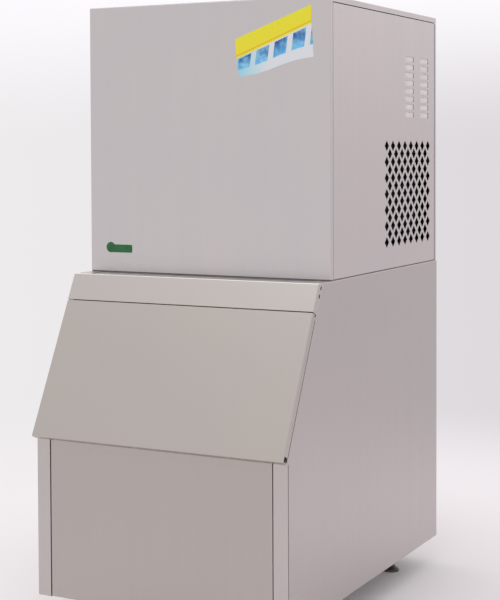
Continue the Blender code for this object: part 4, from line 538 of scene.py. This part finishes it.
# %% Insulation foam
insulation_foam, tree, body = node_material("insulation_foam")
place = object_place(tree)[0]
cells = tree.nodes.new("ShaderNodeTexVoronoi")
cells.inputs["Scale"].default_value = 420.0
tree.links.new(place, cells.inputs["Vector"])
lumps = noise(tree, place, 5.0, 0.62, 11.0)
aged = blend_colors(tree, spread(tree, lumps, 0.0, 1.0), (0.80, 0.70, 0.44), (0.62, 0.47, 0.24))
pores = spread(tree, cells.outputs["Distance"], 0.0, 1.0, 0.02, 0.30)
feed(tree, blend_colors(tree, pores, (0.42, 0.31, 0.15), aged), body.inputs["Base Color"])
body.inputs["Roughness"].default_value = 0.92
body.inputs["Specular IOR Level"].default_value = 0.2
relief(tree, body, sum_up(tree, "ADD", pores, lumps), 0.6, 0.0006)
refinish(insulation_foam, "bin_insulation", "lid_foam_core")

# %% [markdown]
# ## Plated and painted parts
#
# The pipes are drawn copper, bright in the middle and tarnished in patches. The ice mould and the
# fittings are nickel plated, which is warmer and smoother than steel. The compressor and the fan's
# shroud are enamelled black, with the slight waviness that sprayed paint keeps. The fan and its bracket
# are plain aluminium, and the feet are turned from dark steel, so fine rings run round them.

# %% Plated metal


def plated(name, clean, tarnished, rough, patch_scale, patch_start=0.45):
    """Bare metal with patches of tarnish and a fine drawn texture."""
    material, tree, metal = node_material(name)
    place = object_place(tree)[0]
    patches = spread(tree, noise(tree, place, 5.0, 0.65, patch_scale), 0.0, 1.0, patch_start, 0.80)
    fine = noise(tree, place, 2.0, 0.5, 800.0)
    smooth, dull = rough
    metal.inputs["Metallic"].default_value = 1.0
    feed(tree, blend_colors(tree, patches, clean, tarnished), metal.inputs["Base Color"])
    uneven = sum_up(tree, "MULTIPLY", patches, dull - smooth)
    drawn = spread(tree, fine, smooth - 0.03, smooth + 0.03)
    feed(tree, sum_up(tree, "ADD", uneven, drawn), metal.inputs["Roughness"])
    relief(tree, metal, fine, 0.15, 0.00004)
    return material


copper_pipe = plated("copper_pipe", (0.80, 0.38, 0.22), (0.40, 0.17, 0.10), (0.20, 0.45), 26.0)
nickel_plating = plated("nickel_plating", (0.66, 0.62, 0.55), (0.50, 0.46, 0.40), (0.20, 0.36), 18.0, 0.5)
plain_aluminium = plated("plain_aluminium", (0.66, 0.67, 0.68), (0.50, 0.51, 0.53), (0.30, 0.48), 15.0)
refinish(copper_pipe, "discharge_pipe", "suction_pipe", "liquid_pipe", "evaporator_coil")
refinish(nickel_plating, "evaporator_plate", "water_inlet")
refinish(nickel_plating, "lid_hinge_bracket_left", "lid_hinge_bracket_right")
refinish(plain_aluminium, "condenser_fan", "fan_motor_bracket")

# %% Black enamel
black_enamel, tree, paint = node_material("black_enamel_paint")
place = object_place(tree)[0]
dust = noise(tree, place, 5.0, 0.65, 16.0)
dusty = spread(tree, dust, 0.0, 1.0, 0.45, 0.85)
paint_color = blend_colors(tree, dusty, (0.012, 0.012, 0.013), (0.06, 0.055, 0.05))
feed(tree, paint_color, paint.inputs["Base Color"])
feed(tree, spread(tree, dust, 0.20, 0.48), paint.inputs["Roughness"])
paint.inputs["Coat Weight"].default_value = 0.4
paint.inputs["Coat Roughness"].default_value = 0.15
relief(tree, paint, noise(tree, place, 1.0, 0.5, 190.0), 0.12, 0.0002)
refinish(black_enamel, "compressor", "fan_motor", "fan_shroud")

# %% Turned foot steel
TURNED_RING = 0.0011
foot_metal, tree, metal = node_material("turned_foot_steel")
place, axes = object_place(tree)
rings = sum_up(tree, "SINE", sum_up(tree, "MULTIPLY", axes["Z"], 2 * math.pi / TURNED_RING))
scuffs = noise(tree, place, 5.0, 0.65, 60.0)
worn = spread(tree, scuffs, 0.0, 1.0, 0.40, 0.75)
worn_color = blend_colors(tree, worn, (0.10, 0.092, 0.088), (0.22, 0.205, 0.195))
feed(tree, worn_color, metal.inputs["Base Color"])
metal.inputs["Metallic"].default_value = 0.9
feed(tree, spread(tree, scuffs, 0.30, 0.55), metal.inputs["Roughness"])
relief(tree, metal, rings, 0.25, 0.00006)
refinish(foot_metal, "foot_front_left", "foot_front_right", "foot_back_left", "foot_back_right")

# %% [markdown]
# ## Pieces that repeat
#
# Fins, threads and screws repeat one shape many times, and Geometry Nodes is made for that: a tree lays
# out points or a path and puts the shape there. Each tree has its sizes as named inputs, so one tree
# serves every foot and every panel. The result is then kept as a plain mesh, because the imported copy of
# the machine can't carry live trees.

# %% Growing a piece from a tree


def blank_tree(name, sizes):
    """A Geometry Nodes tree with named inputs, the node that reads them and the one that ends it."""
    tree = bpy.data.node_groups.new(name, "GeometryNodeTree")
    keys = {}
    for label, kind in sizes:
        socket = tree.interface.new_socket(label, in_out="INPUT", socket_type="NodeSocket" + kind)
        keys[label] = socket.identifier
    tree.interface.new_socket("Piece", in_out="OUTPUT", socket_type="NodeSocketGeometry")
    return tree, keys, tree.nodes.new("NodeGroupInput").outputs, tree.nodes.new("NodeGroupOutput")


def step_in(tree, kind, settings=(), **links):
    """A node with its settings, and with its inputs fed by label."""
    made = tree.nodes.new(kind)
    for attribute, value in settings:
        setattr(made, attribute, value)
    for label, value in links.items():
        feed(tree, value, made.inputs[label.replace("_", " ")])
    return made


def end_tree(tree, geometry, finish, end):
    """Makes instances real and gives them their finish."""
    real = step_in(tree, "GeometryNodeRealizeInstances", Geometry=geometry)
    done = step_in(tree, "GeometryNodeSetMaterial", Geometry=real.outputs[0], Material=finish)
    tree.links.new(done.outputs[0], end.inputs[0])


def grow(name, tree, keys, values, mesh=None):
    """Runs a tree once and keeps what it made as a plain mesh at the origin."""
    piece = bpy.data.objects.new(name, mesh or bpy.data.meshes.new(name))
    bpy.context.scene.collection.objects.link(piece)
    growing = piece.modifiers.new("grow", "NODES")
    growing.node_group = tree
    for label, value in values.items():
        growing[keys[label]] = value
    depsgraph = bpy.context.evaluated_depsgraph_get()
    grown = bpy.data.meshes.new_from_object(piece.evaluated_get(depsgraph), depsgraph=depsgraph)
    piece.modifiers.remove(growing)
    piece.data = grown
    print(name + ":", len(grown.polygons), "faces")
    return piece


# %% [markdown]
# ## The condenser
#
# The condenser is a stack of very thin fins on copper tubes, and the dark openings of the grille look
# straight into it. The solid model has a block with a few slits in its place. Here every fin is its own
# corrugated leaf, coloured near black as painted shade for the dark inside behind the grille. The fins
# are laid out by a tree along the pack; the tubes, their return bends and the end plates are built beside
# them.

# %% Fins
FIN_PITCH = 0.0024
FIN_SHEET = 0.0003
FIN_WAVE = 0.0006
FIN_FOLDS = 7
END_PLATE = 0.0024
END_PLATE_EDGE = 0.0005
BEND_REACH = 0.0164
PACK_LOW = 0.8686
PACK_HIGH = 1.1686

condenser_low, condenser_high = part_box("condenser")
pack_front = condenser_low.y + BEND_REACH
pack_back = condenser_high.y - BEND_REACH
pack_width = condenser_high.x - condenser_low.x
# Near-black fins: painted shade for the dark inside behind the grille.
fin_shade_tones = (0.010, 0.010, 0.011), (0.030, 0.029, 0.028)
fin_painted_shade = moulding("black_fin_painted_shade", *fin_shade_tones, (0.42, 0.62), 500, 0.00005, 40.0)

tree, keys, inputs, end = blank_tree("fin_pack", [
    ("Count", "Int"), ("Start", "Vector"), ("Step", "Vector"), ("Fin size", "Vector"), ("Wave", "Float"),
    ("Wave turn", "Float"), ("Finish", "Material")])
fin = step_in(tree, "GeometryNodeMeshCube", Size=inputs["Fin size"], Vertices_X=FIN_FOLDS)
here = step_in(tree, "GeometryNodeInputPosition")
parts = step_in(tree, "ShaderNodeSeparateXYZ", Vector=here.outputs[0])
phase = sum_up(tree, "MULTIPLY", parts.outputs["X"], inputs["Wave turn"])
swing = sum_up(tree, "MULTIPLY", sum_up(tree, "COSINE", phase), inputs["Wave"])
push = step_in(tree, "ShaderNodeCombineXYZ", Y=swing)
leaf = step_in(tree, "GeometryNodeSetPosition", Geometry=fin.outputs["Mesh"], Offset=push.outputs[0])
row = step_in(tree, "GeometryNodeMeshLine", [("mode", "OFFSET")], Count=inputs["Count"],
              Start_Location=inputs["Start"], Offset=inputs["Step"])
laid = step_in(tree, "GeometryNodeInstanceOnPoints", Points=row.outputs[0], Instance=leaf.outputs[0])
end_tree(tree, laid.outputs[0], inputs["Finish"], end)

fin_count = int((pack_back - pack_front - END_PLATE) / FIN_PITCH)
fin_start = (pack_front + pack_back) / 2 - (fin_count - 1) * FIN_PITCH / 2
middle_x = (condenser_low.x + condenser_high.x) / 2
condenser_fins = grow("condenser_fins", tree, keys, {
    "Count": fin_count,
    "Start": (middle_x, fin_start, (PACK_LOW + PACK_HIGH) / 2),
    "Step": (0.0, FIN_PITCH, 0.0),
    "Fin size": (pack_width, FIN_SHEET, PACK_HIGH - PACK_LOW),
    "Wave": FIN_WAVE,
    "Wave turn": math.pi * (FIN_FOLDS - 1) / pack_width,
    "Finish": fin_painted_shade,
})

# %% Tubes and end plates
TUBE_RADIUS = 0.004
TUBE_COUNT = 8
TUBE_SIDES = 12
BEND_STEPS = 8


def looped_tube(bm, path, radius, sides):
    """A tube round a closed path that lies in a plane of equal X."""
    rings = []
    for at, point in enumerate(path):
        ahead = (path[(at + 1) % len(path)] - path[at - 1]).normalized()
        level = Vector((1, 0, 0))
        upward = ahead.cross(level)
        turns = [2 * math.pi * side / sides for side in range(sides)]
        spokes = [level * math.cos(turn) + upward * math.sin(turn) for turn in turns]
        rings.append([bm.verts.new(point + spoke * radius) for spoke in spokes])
    for near, far in zip(rings, rings[1:] + rings[:1]):
        for side in range(sides):
            other = (side + 1) % sides
            bm.faces.new((near[side], near[other], far[other], far[side]))


def mesh_of(name, bm, smooth_angle=None):
    """A finished mesh with its faces out."""
    bmesh.ops.recalc_face_normals(bm, faces=bm.faces)
    mesh = bpy.data.meshes.new(name)
    bm.to_mesh(mesh)
    bm.free()
    if smooth_angle:
        mesh.shade_smooth()
        mesh.set_sharp_from_angle(angle=math.radians(smooth_angle))
    return mesh


tube_rise = (PACK_HIGH - PACK_LOW) / TUBE_COUNT
bm = bmesh.new()
for pair in range(0, TUBE_COUNT, 2):
    centre = PACK_LOW + tube_rise * (pair + 1)
    path = []
    for wall, way in ((pack_back, 1), (pack_front, -1)):
        for step in range(BEND_STEPS + 1):
            turn = math.pi * step / BEND_STEPS
            out = way * (BEND_REACH - TUBE_RADIUS) * math.sin(turn)
            path.append(Vector((middle_x, wall + out, centre - way * tube_rise / 2 * math.cos(turn))))
    looped_tube(bm, path, TUBE_RADIUS, TUBE_SIDES)
tubes = show("condenser_tubes", mesh_of("condenser_tubes", bm, 40), copper_pipe)

bm = bmesh.new()
plate_size = (pack_width, END_PLATE, condenser_high.z - condenser_low.z)
for wall in (pack_front, pack_back):
    made = bmesh.ops.create_cube(bm, size=1.0)["verts"]
    bmesh.ops.scale(bm, vec=plate_size, verts=made)
    bmesh.ops.translate(bm, vec=(middle_x, wall, (condenser_low.z + condenser_high.z) / 2), verts=made)
bmesh.ops.bevel(bm, geom=bm.edges[:], offset=END_PLATE_EDGE, segments=2, affect="EDGES")
end_plates = show("condenser_end_plates", mesh_of("condenser_end_plates", bm), plain_aluminium)

for piece, slot in ((condenser_fins, "aluminium"), (tubes, "copper"), (end_plates, "aluminium")):
    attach(piece, "machine")
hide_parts("condenser")
print("tubes:", TUBE_COUNT, "fins:", fin_count)

# %% [markdown]
# ## Foot threads
#
# Each foot screws into the base, so its neck carries a thread. A thread is a ridge along a helix. The
# tree draws the helix with a spiral curve and sweeps a small four-sided profile along it, and its ends
# are capped. The same tree makes all four feet; only the place differs.

# %% Threads
THREAD_RADIUS = 0.0088
THREAD_PITCH = 0.0020
THREAD_LOW = 0.0345
THREAD_HIGH = 0.0705
THREAD_RIDGE = 0.0009
THREAD_STEPS = 20

tree, keys, inputs, end = blank_tree("foot_thread", [
    ("Turns", "Float"), ("Radius", "Float"), ("Height", "Float"), ("Ridge", "Float"), ("Place", "Vector"),
    ("Finish", "Material")])
helix = step_in(tree, "GeometryNodeCurveSpiral", Resolution=THREAD_STEPS, Rotations=inputs["Turns"],
                Start_Radius=inputs["Radius"], End_Radius=inputs["Radius"], Height=inputs["Height"])
ridge = step_in(tree, "GeometryNodeCurvePrimitiveCircle", [("mode", "RADIUS")],
                Resolution=4, Radius=inputs["Ridge"])
swept = step_in(tree, "GeometryNodeCurveToMesh", Curve=helix.outputs[0], Profile_Curve=ridge.outputs[0],
                Fill_Caps=True)
placed = step_in(tree, "GeometryNodeTransform", Geometry=swept.outputs[0], Translation=inputs["Place"])
end_tree(tree, placed.outputs[0], inputs["Finish"], end)

for corner in ("front_left", "front_right", "back_left", "back_right"):
    foot_low, foot_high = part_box("foot_" + corner)
    thread = grow("foot_thread_" + corner, tree, keys, {
        "Turns": (THREAD_HIGH - THREAD_LOW) / THREAD_PITCH,
        "Radius": THREAD_RADIUS,
        "Height": THREAD_HIGH - THREAD_LOW,
        "Ridge": THREAD_RIDGE,
        "Place": ((foot_low.x + foot_high.x) / 2, (foot_low.y + foot_high.y) / 2, THREAD_LOW),
        "Finish": foot_metal,
    })
    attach(thread, "levelling_foot_" + corner)

# %% [markdown]
# ## Screws at the back
#
# The two back panels are held by small pan head screws, which is how one gets at the works. One head is
# built in code: a dome turned from a short profile, and a cross cut into it with a Boolean. A tree then
# puts that head on every point of a mesh that has nothing but points.

# %% One screw head
SCREW_RADIUS = 0.0040
SCREW_RISE = 0.0022
SCREW_PROFILE = [(0.0, 1.0), (0.35, 0.96), (0.70, 0.78), (0.92, 0.45), (1.0, 0.0), (0.0, 0.0)]
SCREW_SIDES = 20
CROSS_LENGTH = 0.0046
CROSS_WIDTH = 0.0010
CROSS_DEPTH = 0.0012

bm = bmesh.new()
turned = [bm.verts.new((SCREW_RADIUS * out, SCREW_RISE * rise, 0)) for out, rise in SCREW_PROFILE]
edges = [bm.edges.new(pair) for pair in zip(turned, turned[1:])]
bmesh.ops.spin(bm, geom=turned + edges, cent=(0, 0, 0), axis=(0, 1, 0), angle=2 * math.pi, steps=SCREW_SIDES)
bmesh.ops.remove_doubles(bm, verts=bm.verts, dist=0.00001)
screw_head = show("screw_head", mesh_of("screw_head", bm))

bm = bmesh.new()
for size in ((CROSS_LENGTH, 2 * CROSS_DEPTH, CROSS_WIDTH), (CROSS_WIDTH, 2 * CROSS_DEPTH, CROSS_LENGTH)):
    made = bmesh.ops.create_cube(bm, size=1.0)["verts"]
    bmesh.ops.scale(bm, vec=size, verts=made)
    bmesh.ops.translate(bm, vec=(0, SCREW_RISE, 0), verts=made)
cross = show("screw_cross", mesh_of("screw_cross", bm))
cut = screw_head.modifiers.new("cut", "BOOLEAN")
cut.operation = "DIFFERENCE"
cut.solver = "EXACT"
cut.use_self = True
cut.object = cross
depsgraph = bpy.context.evaluated_depsgraph_get()
cut_head = bpy.data.meshes.new_from_object(screw_head.evaluated_get(depsgraph), depsgraph=depsgraph)
screw_head.modifiers.remove(cut)
screw_head.data = cut_head
bpy.data.objects.remove(cross)
print("screw head:", len(cut_head.polygons), "faces")

# %% Screws
SCREW_INSET = 0.006

tree, keys, inputs, end = blank_tree("panel_screws", [
    ("Points", "Geometry"), ("Head", "Object"), ("Finish", "Material")])
head_shape = step_in(tree, "GeometryNodeObjectInfo", Object=inputs["Head"])
laid = step_in(tree, "GeometryNodeInstanceOnPoints", Points=inputs["Points"],
               Instance=head_shape.outputs["Geometry"])
end_tree(tree, laid.outputs[0], inputs["Finish"], end)
screw_finish = plated("screw_plating", (0.62, 0.61, 0.58), (0.42, 0.40, 0.36), (0.24, 0.40), 120.0)


def spaced(low, high, count):
    """Evenly spaced places between two edges, set in from them."""
    first, last = low + SCREW_INSET, high - SCREW_INSET
    return [first + (last - first) * at / (count - 1) for at in range(count)]


def rim_points(low, high, columns, rows):
    """Points along the rim of a back panel."""
    across, upward = spaced(low.x, high.x, columns), spaced(low.z, high.z, rows)
    ends_x, ends_z = (across[0], across[-1]), (upward[0], upward[-1])
    return [(x, high.y, z) for x in across for z in upward if x in ends_x or z in ends_z]


screw_rims = [("head_screws", "head_back_panel", 4, 4), ("bin_screws", "bin_back_panel", 3, 4)]
for name, node, columns, rows in screw_rims:
    points = bpy.data.meshes.new(name + "_points")
    points.from_pydata(rim_points(*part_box(node), columns, rows), [], [])
    screws = grow(name, tree, keys, {"Head": screw_head, "Finish": screw_finish}, points)
    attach(screws, "machine")
bpy.data.objects.remove(screw_head)

# %% [markdown]
# ## Sealant under the head
#
# Where the head stands on the bin, the fitter closes the joint with a thin bead of grey sealant, so
# that no water creeps in. It shows as a soft dark line instead of a deep black gap. It is a ring with a
# slightly hollow face, which a finger leaves, set back a little from the sheets. At the front, where
# the bin's top lies a little lower, a second run fills the space below it.

# %% Sealant
BEAD_SET_BACK = 0.0011
BEAD_DEPTH = 0.0030
BEAD_HOLLOW = 0.0005
BEAD_CLEAR = 0.0001


def bead_section(low, high):
    """The bead's section as (inset from the sheet, height)."""
    near, far = BEAD_SET_BACK, BEAD_SET_BACK + BEAD_DEPTH
    return [(near, low), (near + BEAD_HOLLOW, (low + high) / 2), (near, high), (far, high), (far, low)]


bead_low = side_high.z + BEAD_CLEAR
bead_high = front_low.z - BEAD_CLEAR
bm = bmesh.new()
rings = []
for inset, z in bead_section(bead_low, bead_high):
    x, front, back = front_high.x - inset, front_low.y + inset, back_high.y - inset
    corners = ((-x, front, z), (x, front, z), (x, back, z), (-x, back, z))
    rings.append([bm.verts.new(corner) for corner in corners])
for near, far in zip(rings, rings[1:] + rings[:1]):
    for side in range(4):
        other = (side + 1) % 4
        bm.faces.new((near[side], near[other], far[other], far[side]))
filler_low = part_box("bin_top_frame")[1].z + BEAD_CLEAR
filler = bead_section(filler_low, bead_low)
ends = []
for x in (-side_low.x + BEAD_CLEAR, side_low.x - BEAD_CLEAR):
    ends.append([bm.verts.new((x, front_low.y + inset, z)) for inset, z in filler])
bm.faces.new(ends[0])
bm.faces.new(reversed(ends[1]))
for at in range(len(filler)):
    other = (at + 1) % len(filler)
    bm.faces.new((ends[0][at], ends[1][at], ends[1][other], ends[0][other]))
sealant_tones = (0.17, 0.145, 0.13), (0.25, 0.22, 0.20)
sealant_grey = moulding("sealant_grey", *sealant_tones, (0.45, 0.60), 300, 0.0001, 25.0)
sealant = show("head_sealant", mesh_of("head_sealant", bm), sealant_grey)
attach(sealant, "machine")
print("sealant:", round(1000 * (bead_high - bead_low), 2), "mm high")

# %% [markdown]
# ## Painted shade in the corner seams
#
# Near-black bars lie in the seams and are painted shade that stands in for the shade in them. One lies on
# each sloping rim and gives the fine dark line beside the lid. Below it the same line goes on down the
# folded corner of each front post. A third bar fills the upright seam between the head's front and its
# sides. All are slim bars, built as mirrored pairs.

# %% Rim and corner seam shade
# The bars below are painted shade in the seams beside the lid, down the posts and at the head's corners.
SLOPE_TOP_REACH = 0.049
SLOPE_FOOT_RISE = 0.385
RIM_SHADE = (0.0004, 0.0026)
RIM_SHADE_WIDTH = 0.0032
RIM_SHADE_IN = 0.0005
RIM_SHADE_ENDS = (0.0900, 0.4040)
CORNER_SHADE = 0.0009
CORNER_SHADE_IN = 0.0012
CORNER_SHADE_RISE = 0.373
CORNER_SHADE_PROUD = 0.0002
SEAM_CLEAR = 0.0002
SEAM_DEEP = 0.0060
SEAM_SET_BACK = 0.0006

panel_low, panel_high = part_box("head_right_panel")
slope_top = Vector((0, front_low.y - SLOPE_TOP_REACH, side_high.z))
slope_foot = Vector((0, side_low.y, side_low.z + SLOPE_FOOT_RISE))
down = (slope_foot - slope_top).normalized()
out = Vector((0, down.z, -down.y))
bm = bmesh.new()
for side in (-1, 1):
    corners = []
    for along_slope in RIM_SHADE_ENDS:
        for off in RIM_SHADE:
            for x in (side_high.x - RIM_SHADE_IN - RIM_SHADE_WIDTH, side_high.x - RIM_SHADE_IN):
                corners.append(slope_top + down * along_slope + out * off + Vector((side * x, 0, 0)))
    bmesh.ops.convex_hull(bm, input=[bm.verts.new(corner) for corner in corners])
    corners = []
    for y in (side_low.y + CORNER_SHADE_IN, side_low.y + CORNER_SHADE_IN + CORNER_SHADE):
        for z in (side_low.z + CORNER_SHADE_IN, side_low.z + CORNER_SHADE_RISE):
            for x in (side_high.x - CORNER_SHADE_PROUD, side_high.x + CORNER_SHADE_PROUD):
                corners.append(Vector((side * x, y, z)))
    bmesh.ops.convex_hull(bm, input=[bm.verts.new(corner) for corner in corners])
    corners = []
    for y in (front_high.y + SEAM_CLEAR, panel_low.y - SEAM_CLEAR):
        for z in (front_low.z + CORNER_SHADE_IN, panel_high.z - CORNER_SHADE_IN):
            for x in (front_high.x - SEAM_DEEP, front_high.x - SEAM_SET_BACK):
                corners.append(Vector((side * x, y, z)))
    bmesh.ops.convex_hull(bm, input=[bm.verts.new(corner) for corner in corners])
# Near-black colour of the seam bars: painted shade.
seam_shade_tones = (0.030, 0.026, 0.024), (0.060, 0.052, 0.048)
painted_seam_shade = moulding("painted_seam_shade", *seam_shade_tones, (0.6, 0.8), 900, 0.0001, 14.0, 0.2)
corner_joints = show("corner_joints", mesh_of("corner_joints", bm), painted_seam_shade)
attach(corner_joints, "machine")
print("corner joints:", len(corner_joints.data.polygons), "faces")

# %% [markdown]
# ## Mat at the louvres
#
# The louvres look pale, while the openings of the grille look black. What lies inside them can't be
# seen, so this is a guess: a pale mat close behind the sheet, whose pale face is painted light that stands
# in for the light the louvres catch. It runs through the slanted plates of the louvres, so its face is
# what shows in most of each louvre. It is a flat bar, so the hull of its eight corners makes it.

# %% Louvre mat
MAT_X = (0.0014, 0.0032)
MAT_Y = (0.228, 0.403)
MAT_Z = (0.1072, 0.2780)

bm = bmesh.new()
corners = [Vector((front_high.x - x, y, front_high.z - z)) for x in MAT_X for y in MAT_Y for z in MAT_Z]
bmesh.ops.convex_hull(bm, input=[bm.verts.new(corner) for corner in corners])
# The mat's pale colour is painted light for the louvres' lit faces.
louvre_light_tones = (0.62, 0.59, 0.58), (0.80, 0.77, 0.76)
louvre_painted_light = moulding("louvre_painted_light", *louvre_light_tones, (0.85, 0.95), 800, 0.0003, 60.0, 0.2)
louvre_mat = show("louvre_mat", mesh_of("louvre_mat", bm), louvre_painted_light)
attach(louvre_mat, "machine")
print("louvre mat:", len(louvre_mat.data.polygons), "faces")

# %% [markdown]
# ## The two labels
#
# Two adhesive labels are stuck on the head's front: a large printed one near the upper right corner,
# set at a slant, and a small green one at the lower left. Both carry plain designs without any words.
# Each is a thin sheet with a real thickness that lies on the steel. The large one has a UV map along
# its slanted edges, so that its bands and panes follow the sheet.

# %% Large label
LABEL_SHEET = 0.0003
LABEL_COLUMNS = 28
LABEL_ROWS = 4
LABEL_TOP = ((0.0823, 0.5589), (0.2794, 0.6303))
LABEL_BORDER = ((0.0842, 0.5117), (0.2792, 0.5877))
LABEL_FOOT = ((0.0917, 0.4699), (0.2848, 0.5106))
FOOT_WAVE = 0.0035


def along(line, share):
    """A place on a straight line between two points."""
    (x0, z0), (x1, z1) = line
    return Vector((x0 + (x1 - x0) * share, 0, z0 + (z1 - z0) * share))


bm = bmesh.new()
layer = bm.loops.layers.uv.new("label")
front_side = {}
back_side = {}
for column in range(LABEL_COLUMNS + 1):
    share = column / LABEL_COLUMNS
    foot = along(LABEL_FOOT, share) + Vector((0, 0, -FOOT_WAVE * math.sin(2 * math.pi * share)))
    border, top = along(LABEL_BORDER, share), along(LABEL_TOP, share)
    line = [foot.lerp(border, at / LABEL_ROWS) for at in range(LABEL_ROWS)]
    line += [border.lerp(top, at / LABEL_ROWS) for at in range(LABEL_ROWS + 1)]
    for at, point in enumerate(line):
        place = Vector((point.x, front_low.y - LABEL_SHEET, front_low.z + point.z))
        on_label = (share, at / (2 * LABEL_ROWS))
        front_side[column, at] = (bm.verts.new(place), on_label)
        back_side[column, at] = (bm.verts.new(place + Vector((0, LABEL_SHEET, 0))), on_label)


def label_face(*corners):
    """A face whose corners carry their place on the label."""
    face = bm.faces.new([corner[0] for corner in corners])
    for loop, corner in zip(face.loops, corners):
        loop[layer].uv = corner[1]


last_row = 2 * LABEL_ROWS
for column in range(LABEL_COLUMNS):
    for at in range(last_row):
        square = [(column, at), (column + 1, at), (column + 1, at + 1), (column, at + 1)]
        label_face(*[front_side[key] for key in square])
        label_face(*[back_side[key] for key in reversed(square)])
    for at in (0, last_row):
        near, far = (column, at), (column + 1, at)
        label_face(front_side[near], back_side[near], back_side[far], front_side[far])
for column in (0, LABEL_COLUMNS):
    for at in range(last_row):
        near, far = (column, at), (column, at + 1)
        label_face(front_side[near], front_side[far], back_side[far], back_side[near])
label_mesh = mesh_of("front_label", bm)
print("large label:", len(label_mesh.polygons), "faces")

# %% Print of the large label
PANE_COUNT = 4.1
PANE_SLANT = 0.16
PANE_SHIFT = 0.07
PANE_ACROSS = (0.10, 0.80)
PANE_UPWARD = (0.19, 0.475)
BORDER_LINE = (0.555, 0.580)

label_print, tree, sheet = node_material("label_print")
on_label = tree.nodes.new("ShaderNodeUVMap")
on_label.uv_map = "label"
apart = tree.nodes.new("ShaderNodeSeparateXYZ")
tree.links.new(on_label.outputs[0], apart.inputs[0])
across, upward = apart.outputs["X"], apart.outputs["Y"]
yellow = blend_colors(tree, spread(tree, upward, 0.0, 1.0, 0.5, 1.0), (0.80, 0.66, 0.015), (0.74, 0.70, 0.02))
yellow = blend_colors(tree, between(tree, upward, *BORDER_LINE), yellow, (0.62, 0.40, 0.01))
slanted = sum_up(tree, "SUBTRACT", across, sum_up(tree, "MULTIPLY", upward, PANE_SLANT))
cell = sum_up(tree, "FRACT", sum_up(tree, "MULTIPLY", sum_up(tree, "ADD", slanted, PANE_SHIFT), PANE_COUNT))
pane = sum_up(tree, "MULTIPLY", between(tree, cell, *PANE_ACROSS), between(tree, upward, *PANE_UPWARD))
mist = noise(tree, object_place(tree)[0], 4.0, 0.6, 55.0)
shade = spread(tree, upward, 0.0, 1.0, 0.20, 0.45)
glass = blend_colors(tree, shade, (0.10, 0.42, 0.74), (0.012, 0.07, 0.30))
glass = blend_colors(tree, spread(tree, mist, 0.0, 0.75, 0.42, 0.70), glass, (0.30, 0.66, 0.86))
field = blend_colors(tree, spread(tree, across, 0.0, 1.0, 0.0, 0.40), (0.30, 0.62, 0.72), (0.66, 0.70, 0.73))
field = blend_colors(tree, pane, field, glass)
printed = blend_colors(tree, sum_up(tree, "GREATER_THAN", upward, 0.5), field, yellow)
feed(tree, printed, sheet.inputs["Base Color"])
feed(tree, spread(tree, mist, 0.26, 0.34), sheet.inputs["Roughness"])
relief(tree, sheet, noise(tree, object_place(tree)[0], 2.0, 0.5, 30.0), 0.2, 0.0003)
front_label = show("front_label", label_mesh, label_print)
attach(front_label, "machine")

# %% Small green label
TAG_CENTRE = (-0.2690, 0.0598)
TAG_ROUND = 0.0128
TAG_BAR = (0.0475, 0.0668)
TAG_END = -0.2072
TAG_CORNER = 0.0040
TAG_SHEET = 0.0008
TAG_RIM = 0.0010
TAG_BACKING = 0.0003
TAG_SOFT = 0.0003
TAG_ROUND_STEPS = 24
TAG_CORNER_STEPS = 6


def tag_outline(grown):
    """The outline of the green label, a bar with a round left end, as (x, z) counter-clockwise."""
    reach = TAG_ROUND + grown
    low, high = TAG_BAR[0] - grown, TAG_BAR[1] + grown
    corner, end = TAG_CORNER + grown, TAG_END + grown
    start = math.asin((high - TAG_CENTRE[1]) / reach)
    finish = 2 * math.pi - math.asin((TAG_CENTRE[1] - low) / reach)
    outline = []
    for step in range(TAG_ROUND_STEPS + 1):
        turn = start + (finish - start) * step / TAG_ROUND_STEPS
        outline.append((TAG_CENTRE[0] + reach * math.cos(turn), TAG_CENTRE[1] + reach * math.sin(turn)))
    for middle, first in (((end - corner, low + corner), -90), ((end - corner, high - corner), 0)):
        for step in range(TAG_CORNER_STEPS + 1):
            turn = math.radians(first + 90 * step / TAG_CORNER_STEPS)
            outline.append((middle[0] + corner * math.cos(turn), middle[1] + corner * math.sin(turn)))
    return outline


def label_plate(name, outline, start, thickness, soft):
    """A flat plate on the head's front with a softened outer edge."""
    bm = bmesh.new()
    face = bm.faces.new([bm.verts.new((x, front_low.y - start, front_low.z + z)) for x, z in outline])
    raised = bmesh.ops.extrude_face_region(bm, geom=[face], use_keep_orig=True)["geom"]
    corners = [item for item in raised if isinstance(item, bmesh.types.BMVert)]
    bmesh.ops.translate(bm, vec=(0, -thickness, 0), verts=corners)
    rim = [item for item in raised if isinstance(item, bmesh.types.BMEdge)]
    bmesh.ops.bevel(bm, geom=rim, offset=soft, segments=2, affect="EDGES")
    return mesh_of(name, bm, 50)


green_tones = (0.004, 0.075, 0.018), (0.012, 0.150, 0.040)
tag_green = moulding("tag_green", *green_tones, (0.16, 0.28), 260, 0.00003, 70.0)
tag_border = moulding("tag_border", (0.50, 0.62, 0.52), (0.62, 0.72, 0.62), (0.25, 0.35), 260, 0.00003, 70.0)
backing = label_plate("green_label_border", tag_outline(TAG_RIM), 0.0, TAG_BACKING, TAG_BACKING / 3)
tag_back = show("green_label_border", backing, tag_border)
raised = label_plate("green_label", tag_outline(0.0), TAG_BACKING, TAG_SHEET, TAG_SOFT)
tag_face = show("green_label", raised, tag_green)
for piece in (tag_back, tag_face):
    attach(piece, "machine")
print("green label:", len(tag_face.data.polygons), "faces")
